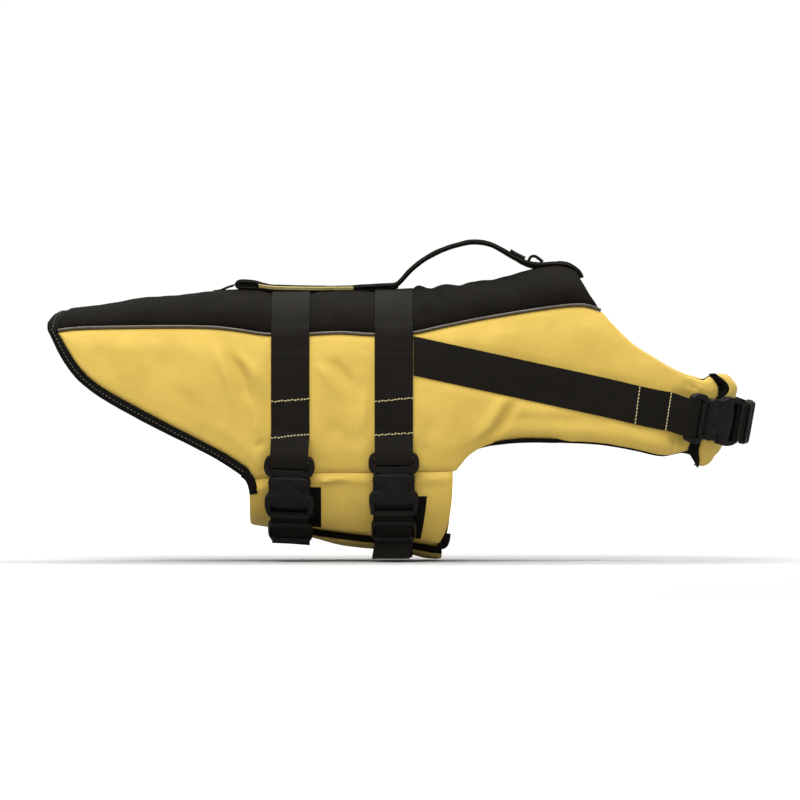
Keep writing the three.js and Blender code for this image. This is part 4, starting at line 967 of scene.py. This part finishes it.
PATCH_THICK = 1.0
SLIDER_LENGTH, SLIDER_WIDTH = 26.0, 47.0
SOCKET_BAR, PLUG_BAR, PLUG_TOP = 3 - BUCKLE_LENGTH / 2, 20.0, 31.0
FOLD_RISE = 3.4  # the web's fold as it shows, above the bar that it goes round
BAR_RADIUS, BAR_LENGTH = 2.0, 41.0
LOOP_RADIUS = BAR_RADIUS + SEAM_GAP + WEB_THICK / 2
LAYER = WEB_THICK / 2 + SEAM_GAP / 2
OVER_PANEL = SEAM_GAP + 0.15 + WEB_THICK / 2
LINK_TIP, LINK_LENGTH, BELLY_LEAVE = 0.36, 17.0, 0.93
WEB_COLUMNS = np.concatenate([[-20, -19.7, -19.2, -18.4], np.linspace(-16, 16, 9), [18.4, 19.2, 19.7, 20]])
RIDE_FLAT, RIDE_END, PIPING_PROUD, BINDING_PROUD = 4.5, 11.0, 1.2, 0.5
# place, x, z, height where the web leaves the buckle, free tail, sag
BELLY_BUCKLES = (("rear", -51.5, -194.5, -140, 1.5, 0.5), ("front", 56.5, -192.5, -140, 17, 0.15))
CHEST_BUCKLE = (378.0, -126.0, -0.04)  # station, height, lean
CHEST_KEEPER = (51.0, 9.0, 0.8)  # down, in, tip
BUCKLE_OUT = 2 * SEAM_GAP + PATCH_THICK + BUCKLE_THICK / 2
CHEST_FROM, RIGHT_CHEST_TO, LEFT_CHEST_TO = 77.0, 333, 350
LEFT_CHEST_ROUND = (366, 382, 398, 414)  # the left web's stations round the front
LEFT_CHEST_LIFT, LIFTED = 4, (382, 420)  # how far it lifts off there, and where
UNDERSIDE = (2.9, 3.1)  # turns between which the web climbs onto the belly binding
# Heights where the belly webs begin and end to wrinkle: over the side, and above the buckle
WRINKLES_TOP, WRINKLES_SIDE, WRINKLES_BUCKLE = (-46, -40), (-72, -60), (-168, -150)


def belly_place(x, z):
    turn = turn_at(x, z)
    up = face_point(x, turn - 0.01) - face_point(x, turn)
    buckle = Place(raised(x, turn, BUCKLE_OUT), up, face_normal(x, turn))
    return buckle, buckle.stepped(-BUCKLE_LENGTH / 2 - LINK_LENGTH + 2, -3.5, LINK_TIP)


def chest_place():
    at, z, lean = CHEST_BUCKLE
    turn = turn_at(at, z)
    normal = face_normal(at, turn)
    back = unit(face_point(at - 1, turn) - face_point(at, turn))
    back = np.array(Matrix.Rotation(lean, 3, Vector(normal))) @ back
    buckle = Place(raised(at, turn, BUCKLE_OUT), back, normal)
    down, inward, tip = CHEST_KEEPER
    return buckle, buckle.stepped(-down, -inward, tip)


def round_bar(place, v, side):
    angle = in_rows(0, math.pi, 9)
    along = v - side * LOOP_RADIUS * np.sin(angle)
    return place.at(WEB_COLUMNS[None, :], along, -LOOP_RADIUS * np.cos(angle))


def web_rows(place, rows):
    """The web's cross rows at places (v, n) of a frame."""
    return np.stack([place.at(WEB_COLUMNS, v, n) for v, n in rows])


def plug_fold(buckle, past, drop):
    """The web round the plug's bar and out over it, towards the form."""
    over = ((PLUG_BAR + FOLD_RISE + 6, LOOP_RADIUS - 0.4), (PLUG_TOP + past, LOOP_RADIUS - drop))
    return np.concatenate([round_bar(buckle, PLUG_BAR + FOLD_RISE, 1), web_rows(buckle, over)])


def loose_end(buckle, keeper, tail):
    """In through the slider, round the socket's bar, back out as a tail."""
    reach = SLIDER_LENGTH / 2 + 1
    inward = web_rows(keeper, ((-reach, -LAYER), (0, -LAYER), (reach - 3, -LAYER - 0.1)))
    outward = web_rows(keeper, ((reach - 3, LAYER + 0.1), (0, LAYER), (-reach, LAYER)))
    return np.concatenate([inward, round_bar(buckle, SOCKET_BAR, -1), outward, tail])


def ride_over(at, turn):
    piping_turn = turn_on_line(at, piping_at)
    away = np.abs(np.abs(turn) - piping_turn) / turn_for(at, piping_turn, 1)
    over = (PIPING_PROUD + 0.15) * (1 - smooth(away, RIDE_FLAT, RIDE_END))
    return OVER_PANEL + over + (BINDING_PROUD + 0.1) * smooth(np.abs(turn), *UNDERSIDE)


def belly_strap(name, x, z, leave_z, tail_length, sag):
    buckle, keeper = belly_place(x, z)
    leave = turn_at(x, leave_z)
    turns = in_rows(leave, -(2 - BELLY_LEAVE) * math.pi, 150)
    at = x + WEB_COLUMNS[None, :]
    ring = raised(at, turns, ride_over(at, turns))
    # Faint cross wrinkles where the web bends over the side and above the buckle
    seen = ring[:, :, 2]
    bent = smooth(seen, *WRINKLES_SIDE) * (1 - smooth(seen, *WRINKLES_TOP))
    near = (turns > 0) * (bent + 1 - smooth(seen, *WRINKLES_BUCKLE))
    ring = ring + face_normal(at, turns) * (0.5 * near * np.sin(seen * 2.1 + 0.06 * ring[:, :, 0]))[..., None]
    start = keeper.at(WEB_COLUMNS, -SLIDER_LENGTH / 2 - 1, LAYER)
    down = unit(np.array((0, sag * 0.3, -1.0)))
    fold = 1 + 0.5 * np.clip(WEB_COLUMNS / 20, 0, 1) if name == "rear" else np.ones(len(WEB_COLUMNS))
    hang = down * tail_length * fold[:, None] - keeper.v * 1.5
    hang += (-3.0 if name == "front" else 0.0, 0, 0)
    tail = np.stack([start + hang * share for share in (0.35, 0.7, 1)])
    path = np.concatenate([plug_fold(buckle, 5, 2), ring, loose_end(buckle, keeper, tail)])
    ribbon("belly_web_" + name, path, WEB_THICK, WEBBING, "belly_strap_" + name, seed=len(name))
    return path


def on_chest_web(at, u, sign, out):
    share = 0.5 + u / WEB_WIDTH
    z = np.full(np.broadcast(at, u).shape, -100.0)
    for _ in range(8):
        x = forward_at(at, z)
        z = between(CHEST_WEB_BOTTOM(x), CHEST_WEB_TOP(x), share)
    return raised(at, sign * turn_at(at, z), out)


def chest_web(side):
    buckle, keeper = chest_place()
    if side > 0:
        at = in_rows(RIGHT_CHEST_TO, CHEST_FROM, 90)
        laid = on_chest_web(at, WEB_COLUMNS[None, :], 1, OVER_PANEL)
        path = np.concatenate([plug_fold(buckle, 3, 1.6), laid])
    else:
        at = np.concatenate([np.linspace(CHEST_FROM, LEFT_CHEST_TO, 90), LEFT_CHEST_ROUND])[:, None]
        laid = on_chest_web(at, WEB_COLUMNS[None, :], -1, OVER_PANEL + LEFT_CHEST_LIFT * smooth(at, *LIFTED))
        tail = keeper.at(WEB_COLUMNS, -SLIDER_LENGTH / 2 - 6, LAYER + 1)[None]
        path = np.concatenate([laid, loose_end(buckle, keeper, tail)])
    name = side_name(side)
    ribbon("chest_web_" + name, path, WEB_THICK, WEBBING, "chest_strap_" + name, seed=8 if side > 0 else 9)


# Sewn lines across the webs as they show on the near side: place along and slant
BELLY_LINES = ((-51.5, ((-106.8, 2.8), (-144.6, 4.6))), (56.5, ((-106.2, 4.2), (-142.4, 2.6))))
CHEST_LINES = ((314, 309), (347, 341))  # x of the line at the web's upper and lower edge


def sewn_lines(path, lines, reach):
    """Runs across a web's grid where the near side of it comes to each line's height."""
    fine = finer(path, 1.0)
    out = unit(np.cross(np.gradient(fine, axis=1), np.gradient(fine, axis=0)))
    top = np.argmax(fine[:, fine.shape[1] // 2, 2])
    climb = slice(np.argmin(fine[:top, fine.shape[1] // 2, 2]), top)
    runs = []
    for z, slant in lines:
        points, normals = [], []
        for u in reach:
            share = np.interp(u, WEB_COLUMNS, np.arange(len(WEB_COLUMNS)))
            low = int(min(share, len(WEB_COLUMNS) - 2))
            part = share - low
            column = between(fine[climb, low], fine[climb, low + 1], part)
            row = np.argmin(np.abs(column[:, 2] - (z + slant * u / 40)))
            normal = out[climb, low][row]
            normal = normal * -np.sign(normal[1])
            over = WEB_THICK / 2 - 1.2 * smooth(abs(u), 19.2, 20)
            points.append(column[row] + normal * over)
            normals.append(normal)
        runs.append((np.array(points), np.array(normals)))
    return runs


def strap_stitches(paths):
    reach = np.linspace(-20, 20, 34)
    runs = []
    for path, (x, lines) in zip(paths, BELLY_LINES):
        runs += sewn_lines(path, lines, reach)
        for z, slant in lines:
            at = x + reach
            turn = -turn_at(at, z + slant * reach / 40)
            runs.append((raised(at, turn, ride_over(at, turn) + WEB_THICK / 2), face_normal(at, turn)))
    for top_x, bottom_x in CHEST_LINES:
        for side in (1, -1):
            x = (top_x + bottom_x) / 2 + (top_x - bottom_x) / 40 * reach
            at, flat = x + 0.0, np.zeros_like(reach)
            for _ in range(6):
                at = at + (x - on_chest_web(at, reach, side, flat)[:, 0])
            turn = side * turn_at(at, on_chest_web(at, reach, side, flat)[:, 2])
            runs.append((raised(at, turn, flat + OVER_PANEL + WEB_THICK / 2), face_normal(at, turn)))
    stitches("strap_stitches", runs, THREAD, length=3.1, gap=0.3, radius=0.72, sink=0.3, jitter=0.16)


# Moulded hardware


def rounded_plate(bm, outline, low, high, bevel, crown=0.0):
    """A plate of an outline (u, v) between two heights, with rounded rims."""
    before = set(bm.verts)
    face = bm.faces.new([bm.verts.new((u * MM, v * MM, low * MM)) for u, v in outline])
    made = bmesh.ops.extrude_face_region(bm, geom=[face])
    top = [v for v in made["geom"] if isinstance(v, bmesh.types.BMVert)]
    bmesh.ops.translate(bm, verts=top, vec=(0, 0, (high - low) * MM))
    fresh = [v for v in bm.verts if v not in before]
    faces = {f for v in fresh for f in v.link_faces}
    bmesh.ops.recalc_face_normals(bm, faces=list(faces))
    edges = {e for v in fresh for e in v.link_edges}
    rims = [e for e in edges if abs(e.verts[0].co.z - e.verts[1].co.z) < 1e-6]
    settings = {"segments": 3, "profile": 0.5, "affect": "EDGES", "clamp_overlap": True}
    bmesh.ops.bevel(bm, geom=rims, offset=bevel * MM, **settings)
    if crown:
        reach = max(abs(u) for u, _ in outline) * MM
        for v in bm.verts:
            if v not in before and v.co.z > 0:
                v.co.z += crown * MM * (1 - min(abs(v.co.x) / reach, 1) ** 2)


def mirrored(half):
    """A closed outline from the points of its right half, top to bottom."""
    return [*half, *[(-u, v) for u, v in reversed(half)]]


def rounded(points, steps=5):
    """A closed outline whose corners are cut by a smooth curve."""
    points = np.array(points, float)
    after = np.roll(points, -1, axis=0)
    before = np.roll(points, 1, axis=0)
    outline = []
    for a, p, b in zip(before, points, after):
        start, end = (a + p) / 2, (p + b) / 2
        for t in np.linspace(0, 1, steps, endpoint=False):
            outline.append(tuple(start * (1 - t) ** 2 + 2 * p * t * (1 - t) + end * t * t))
    return outline


def both_sides(bm, outline, low, high, bevel):
    """The same rounded plate on the right and, mirrored, on the left."""
    for sign in (1, -1):
        rounded_plate(bm, rounded([(sign * u, v) for u, v in outline][::sign]), low, high, bevel)


def web_bar(bm, v):
    """The round bar across a buckle that its web goes round."""
    spin = Vector((1, 0, 0)).to_track_quat("Z", "Y").to_matrix().to_4x4()
    matrix = Matrix.Translation((0, v * MM, 0)) @ spin
    size = {"radius1": BAR_RADIUS * MM, "radius2": BAR_RADIUS * MM, "depth": BAR_LENGTH * MM}
    bmesh.ops.create_cone(bm, cap_ends=True, segments=16, matrix=matrix, **size)


SOCKET_CORE = mirrored(((20.5, 9.8), (21.8, 4), (21.6, -9), (25.2, -14), (25.4, -19), (23.5, -22.5)))
SOCKET_SHELL = mirrored(
    (
        (16.5, 10.6), (20.6, 10.4), (22.1, 5.4), (22.2, 1.6), (18.6, 1.0), (14.2, -0.8), (13.4, -3.8),
        (15.6, -7.0), (21.2, -7.6), (25.0, -10.4), (26.0, -16.0), (25.2, -19.8), (20.5, -20.6),
        (10.0, -22.4),
    )
)
SOCKET_ARM = ((19.9, -16), (26.0, -15), (25.8, -22), (24.2, -28.5), (21.4, -32.6), (19.9, -32.8))
FRONT_BAR = ((-22.5, -30.4), (0, -30.8), (22.5, -30.4), (20.8, -33.6), (0, -34.0), (-20.8, -33.6))
SOCKET_BACK = ((-24.5, -15), (24.5, -15), (24.5, -34), (-24.5, -34))
THUMB_PAD = ((0, 3.5), (7, 1.5), (10.5, -5), (11.5, -13), (8, -19.5), (0, -21.5), (-8, -19.5))
THUMB_PAD += ((-11.5, -13), (-10.5, -5), (-7, 1.5))


def socket(name, place):
    bm = bmesh.new()
    rounded_plate(bm, rounded(SOCKET_CORE), -3.6, 3.6, 1.0)
    rounded_plate(bm, rounded(SOCKET_SHELL), 0.5, 5.2, 1.5, crown=0.8)
    rounded_plate(bm, rounded(SOCKET_SHELL), -5.2, -0.5, 1.5)
    rounded_plate(bm, rounded(THUMB_PAD), 4.0, 6.2, 0.9, crown=0.2)
    rounded_plate(bm, SOCKET_BACK, -5.2, -3.9, 0.5)
    both_sides(bm, SOCKET_ARM, -4.6, 5.0, 1.2)
    rounded_plate(bm, rounded(FRONT_BAR), 4.2, 5.9, 0.6)
    web_bar(bm, SOCKET_BAR)
    return hardware(bm, "buckle_body_" + name, place, "buckle_socket_" + name)


PLUG_EAR = (
    (16.5, 10.8), (20.8, 10.8), (24.8, 14.0), (26.6, 19.5), (26.4, 26.0), (24.4, 31.0), (21.0, 33.2),
    (18.9, 32.6), (20.4, 30.0), (20.5, 25.0), (20.4, 19.6), (18.6, 16.2), (15.0, 15.4),
)
PLUG_PLATE = ((-18.5, 10.6), (18.5, 10.6), (20.0, 19.4), (10, 18.8), (-10, 18.8), (-20.0, 19.4))
PLUG_TONGUE = ((-17, 9.6), (17, 9.6), (18, 12.0), (-18, 12.0))


def plug(name, place):
    bm = bmesh.new()
    both_sides(bm, PLUG_EAR, -3.9, 4.3, 1.1)
    rounded_plate(bm, rounded(PLUG_PLATE, 3), -3.7, 3.4, 0.7)
    rounded_plate(bm, rounded(PLUG_TONGUE, 3), -3.2, 4.6, 0.9)
    web_bar(bm, PLUG_BAR + FOLD_RISE)
    return hardware(bm, "buckle_ears_" + name, place, "buckle_plug_" + name)


def slider(name, place):
    """A rounded ring over the web, its ends down to the bar under it."""
    inside = WEB_WIDTH / 2 + 0.4
    over = LAYER + WEB_THICK / 2 + SEAM_GAP
    half, end = SLIDER_WIDTH / 2, SLIDER_LENGTH / 2
    around = np.linspace(0, 2 * math.pi, 120, endpoint=False)
    c, d = np.cos(around), np.sin(around)
    u = np.sign(c) * np.abs(c) ** 0.35 * half
    v = np.sign(d) * np.sqrt(np.abs(d)) * end
    rim = np.stack([u, v], -1)
    mid = np.stack([u * (1 - 2.0 / half), v * (1 - 2.9 / end)], -1)
    hole = np.stack([u * (inside - 0.2) / half, v * (1 - 5.6 / end)], -1)
    post = smooth(np.abs(u), inside - 0.6, inside + 1.6)
    low = between(over + 0.05, -over - 2.4, post)
    rows = []
    for ring, lift in ((rim, 0.12), (rim, 0.62), (mid, 1.0), (hole, 0.62), (hole, 0.12)):
        top = over + 3.3
        rows.append(place.at(ring[:, 0], ring[:, 1], low + (top - low) * lift))
    under = [place.at(mid[:, 0], mid[:, 1], low)]
    points = np.stack(rows + under, 1).reshape(-1, 3)
    count, across = len(around), 6
    index = np.arange(count * across).reshape(count, across)
    turned = np.roll(index, -1, axis=0)
    faces = [
        (index[i, j], turned[i, j], turned[i, (j + 1) % across], index[i, (j + 1) % across])
        for i in range(count)
        for j in range(across)
    ]
    bm = bmesh.new()
    middle = [(-half + 2.5, -3.5), (half - 2.5, -3.5), (half - 2.5, 3.5), (-half + 2.5, 3.5)]
    rounded_plate(bm, rounded(middle, 3), -over - 2.8, -over, 0.8)
    bm.transform(place.matrix())
    verts = [bm.verts.new(p * MM) for p in points]
    fresh = [bm.faces.new([verts[k] for k in face]) for face in faces]
    bmesh.ops.recalc_face_normals(bm, faces=fresh)
    return hardware(bm, "web_slider_" + name, None, "slider_" + name)


def hardware(bm, name, place, node):
    mesh = bpy.data.meshes.new(name)
    if place is not None:
        bm.transform(place.matrix())
    bm.to_mesh(mesh)
    bm.free()
    return finish_mesh(name, mesh, (PLASTIC,), node=node, angle=35)


def build_hardware():
    places = [(name, belly_place(x, z)) for name, x, z, *_ in BELLY_BUCKLES]
    for name, (buckle, keeper) in (*places, ("chest", chest_place())):
        socket(name, buckle)
        plug(name, buckle)
        slider(name, keeper)


# The grip: the middle of its thickness from the folded rear end, along the back, over the arch
HANDLE_PATH = ((-88, 12), (-100, 12.1), (-106.8, 12.9), (-109.6, 15.3), (-106.5, 18), (-99, 18.2))
HANDLE_PATH += ((-90, 17.4), (-82, 15), (-72, 13), (-50, 12.4), (-20, 11.8), (8, 12), (32, 13.6))
HANDLE_PATH += ((50, 14.4), (59, 15.4), (65, 20.6), (72.5, 29), (84, 39), (96.6, 46.9), (109, 52.6))
HANDLE_PATH += ((122, 57), (136, 60.2), (149, 60.2), (161, 57), (171, 51.8), (181, 45.8), (190, 41.1))
HANDLE_PATH += ((200, 37.6), (211, 36.6), (222, 37.2), (233, 37.1), (242, 35.4), (248.6, 31.4))
HANDLE_PATH += ((252.8, 26.8), (254.4, 22.4))
HANDLE_HALF = 19.0
# The cream pad along the grip. Its middle lies inside the grip, and only its edges show
PAD_PATH = ((-86, 15.4), (-76, 13.9), (-62, 13.1), (-36, 12.6), (-6, 12.6), (14, 12.8))
PAD_SINK = 1.6
# Layers folded under the grip where it is sewn down, and the rolled rear end
BASE_REAR = ((-96, 11.6), (-84, 10.4), (-74, 8.6), (-66, 8.6), (-50, 9.0), (-28, 8.6), (8, 8.8))
BASE_REAR += ((32, 9.8), (50, 11.4), (61, 13.6))
BASE_FRONT = ((184, 44.0), (192, 38.6), (202, 34.8), (213, 33.6), (224, 33.8), (234, 33.6))
BASE_FRONT += ((242, 31.6), (248, 28.0))
# A thin pale grey tape on top of the grip's front end: a painted highlight
END_HIGHLIGHT_TAPE = ((230, 39.9), (237, 39.2), (243, 37.4), (248, 34.0))
ROLLED_END = ((-107, 14.8), (-101, 15.2), (-92, 15.0), (-84, 13.6))
HANDLE_LAYERS = (("rear", BASE_REAR, 3.4), ("front", BASE_FRONT, 3.6), ("roll", ROLLED_END, 3.6))
RING_WEB = ((197.5, 41.6), (199.2, 45.2), (203, 46.6), (208, 44), (212.4, 40.2))
FRONT_TAB = ((176.5, 52.7), (182.7, 49.1), (192, 44.3))
REAR_TAB = ((-134, 8.5), (-127, 9.4), (-119, 12.8), (-112.6, 14.8))


def spine_grid(path, half, columns):
    path = np.array(path, float)
    u = in_columns(-half, half, columns)
    x, z = path[:, :1] + 0 * u, path[:, 1:] + 0 * u
    return np.stack([x, -u + 0 * x, z], -1)


def handle():
    grid = spine_grid(HANDLE_PATH, HANDLE_HALF, 21)
    ribbon("handle_grip", grid, 5.0, BLACK, "handle", edge=2.4, waver=0.2, seed=12)
    # Thin grey cords along both edges of the black grip: painted highlights of its edges
    for sign in (1, -1):
        edge = finer(grid, 3)[:, 0 if sign > 0 else -1]
        out = unit(np.cross(np.array((0, 1.0, 0)), unit(np.gradient(edge, axis=0))))
        cord("handle_edge_highlight_cord_" + side_name(sign), edge - out * 0.2 + (0, -0.35 * sign, 0), 0.5, GREY_TAPE_AND_HIGHLIGHT)
    pad = spine_grid(PAD_PATH, HANDLE_HALF + 0.7, 17)
    pad[:, 1:-1, 2] -= PAD_SINK
    ribbon("handle_pad", pad, 3.2, CREAM, edge=1.6, waver=0.15, seed=14)
    for place, path, thick in HANDLE_LAYERS:
        layers = spine_grid(path, HANDLE_HALF - 0.8, 17)
        ribbon("handle_base_" + place, layers, thick, BLACK, edge=1.6, seed=15)
    front, ring = np.array(FRONT_TAB) + (3.2, -1.0), np.array(RING_WEB) + (1.6, -0.8)
    ribbon("handle_front_tape", spine_grid(front, 11, 9), 3.2, GREY_TAPE_AND_HIGHLIGHT, "handle_front_tab", step=1.5)
    ribbon("handle_ring_tape", spine_grid(ring, 10, 9), 3.0, WEBBING, "handle_ring_web", step=1.5)
    # Painted highlight: a thin pale grey tape along the top of the grip's front end
    ribbon("handle_end_highlight_tape", spine_grid(END_HIGHLIGHT_TAPE, 12, 9), 1.4, GREY_TAPE_AND_HIGHLIGHT, step=1.5)
    ribbon("handle_rear_tape", spine_grid(REAR_TAB, 10, 9), 2.2, WEBBING, "handle_rear_tab", step=1.5)


TAPE_AT = through(((0, 9), (0.16, 8), (0.3, 8), (0.6, 12), (0.8, 14), (0.92, 11), (1, 5)))


def lap_tape():
    down = in_rows(0, 1, 50)
    share = in_columns(0, 1, 9)
    start = lap_at(down)
    upper, lower = side_turns(start, -1)
    turn = -(upper + (lower - upper) * down) + 0 * share
    at = start + 1.0 + share * TAPE_AT(down)
    wave = 0.4 * uneven(face_point(at, turn), 9, 101)
    outer, inner = 0.3 + wave - 1.5 * share**4, np.full(at.shape, -3.0)
    made = over_form("lap_loop_tape", at, turn, outer, inner, (LOOPS,), "lap_tape")


def build_trims():
    rear_binding()
    belly_binding()
    trim_ends()
    for side in (1, -1):
        leg_binding(side)
        chest_web(side)
    right_flap()
    left_flap()
    for row in PATCHES:
        patch(*row)
    strap_stitches([belly_strap(*row) for row in BELLY_BUCKLES])
    lap_tape()
    handle()
    build_hardware()


# Camera, floor and light

SCALE = 1.05  # millimetres in a pixel of the photograph, at the middle of the near side
IMAGE = 800
VIEW_X, VIEW_Z = 63.0, -106.5  # the middle of the picture
NEAR_SIDE = -50.0
LENS, SENSOR, CLIP = 300.0, 36.0, (0.1, 100)
FLOOR = -276.5
FLOOR_HALF = 14000.0
LIT_REACH = (1.3, 3.0)  # metres from the middle where the paper begins to glow and is fully lit
LIT_PAPER = 1.0
HORIZON = (0.064, 0.09, 1.02, 0.0)  # a pale far wall: where it ends and has faded, and its brightness at both
SKY = (0.29, 0.95)  # strength at the horizon and overhead
PAPER_TONES = (0.44, 0.44, 0.44), (0.42, 0.42, 0.42)
# name, place, target, size in metres, watts. The one named wall lights the ground behind the object
SOFTBOXES = (
    ("key", (-0.7, -1.5, 2.8), (0.05, 0, -0.1), (2.2, 1.6), 98),
    ("front", (0.1, -4.2, 2.6), (0.1, -3.7, -0.28), (5.0, 2.0), 165),
    ("top", (0.2, 0.5, 2.6), (0.05, 0.0, -0.1), (2.2, 1.6), 24),
    ("wall", (0.2, 0.9, 2.4), (0.1, 2.3, 0.6), (4.0, 1.2), 120),
)


def camera():
    data = bpy.data.cameras.new("camera")
    data.lens, data.sensor_width = LENS, SENSOR
    data.clip_start, data.clip_end = CLIP
    made = placed("camera", data)
    made.location = Vector((VIEW_X, NEAR_SIDE - IMAGE * SCALE / SENSOR * LENS, VIEW_Z)) * MM
    made.rotation_euler = (math.pi / 2, 0, 0)
    bpy.context.scene.camera = made


def backdrop():
    """A pale paper floor that glows away from the object."""
    n = Nodes("studio_paper")
    n.link(n.mix(n.noise(n.place(), 60, 3), *PAPER_TONES, 0.25), "Base Color")
    reach = n.add("VectorMath", {0: n.place()}, operation="LENGTH").outputs["Value"]
    n.link(n.math("MULTIPLY", n.ramp(reach, *LIT_REACH), LIT_PAPER), "Emission Strength")
    corners = [(x * FLOOR_HALF, y * FLOOR_HALF, FLOOR) for x, y in ((-1, -1), (1, -1), (1, 1), (-1, 1))]
    mesh = new_mesh("backdrop", corners, [range(4)])
    mesh.materials.append(n.finish(0.95, specular=0.05))
    mesh.polygons.foreach_set("use_smooth", [True])
    placed("backdrop", mesh)


def softbox(name, place, target, size, power):
    data = bpy.data.lights.new(name, "AREA")
    data.shape, data.size, data.size_y, data.energy = "RECTANGLE", *size, power
    made = placed(name, data)
    made.location = Vector(place)
    made.rotation_euler = (Vector(target) - Vector(place)).to_track_quat("-Z", "Y").to_euler()


def sky():
    """A dim studio that grows brighter overhead, with a bright band at the horizon."""
    n = Nodes("studio", bpy.data.worlds, "Background")
    climb = n.add("SeparateXYZ", {0: n.add("TexCoord").outputs["Generated"]}).outputs[2]
    overhead, wall = n.ramp(climb, 0.0, 1.0, *SKY), n.ramp(n.math("ABSOLUTE", climb), *HORIZON)
    n.link(n.math("MAXIMUM", overhead, wall), "Strength")
    n.shader.inputs["Color"].default_value = (1.0, 0.995, 0.985, 1)
    bpy.context.scene.world = n.made


def light():
    for row in SOFTBOXES:
        softbox(*row)
    sky()
    bpy.context.scene.view_settings.view_transform = "Standard"


camera()
backdrop()
light()
build_panels()
build_trims()
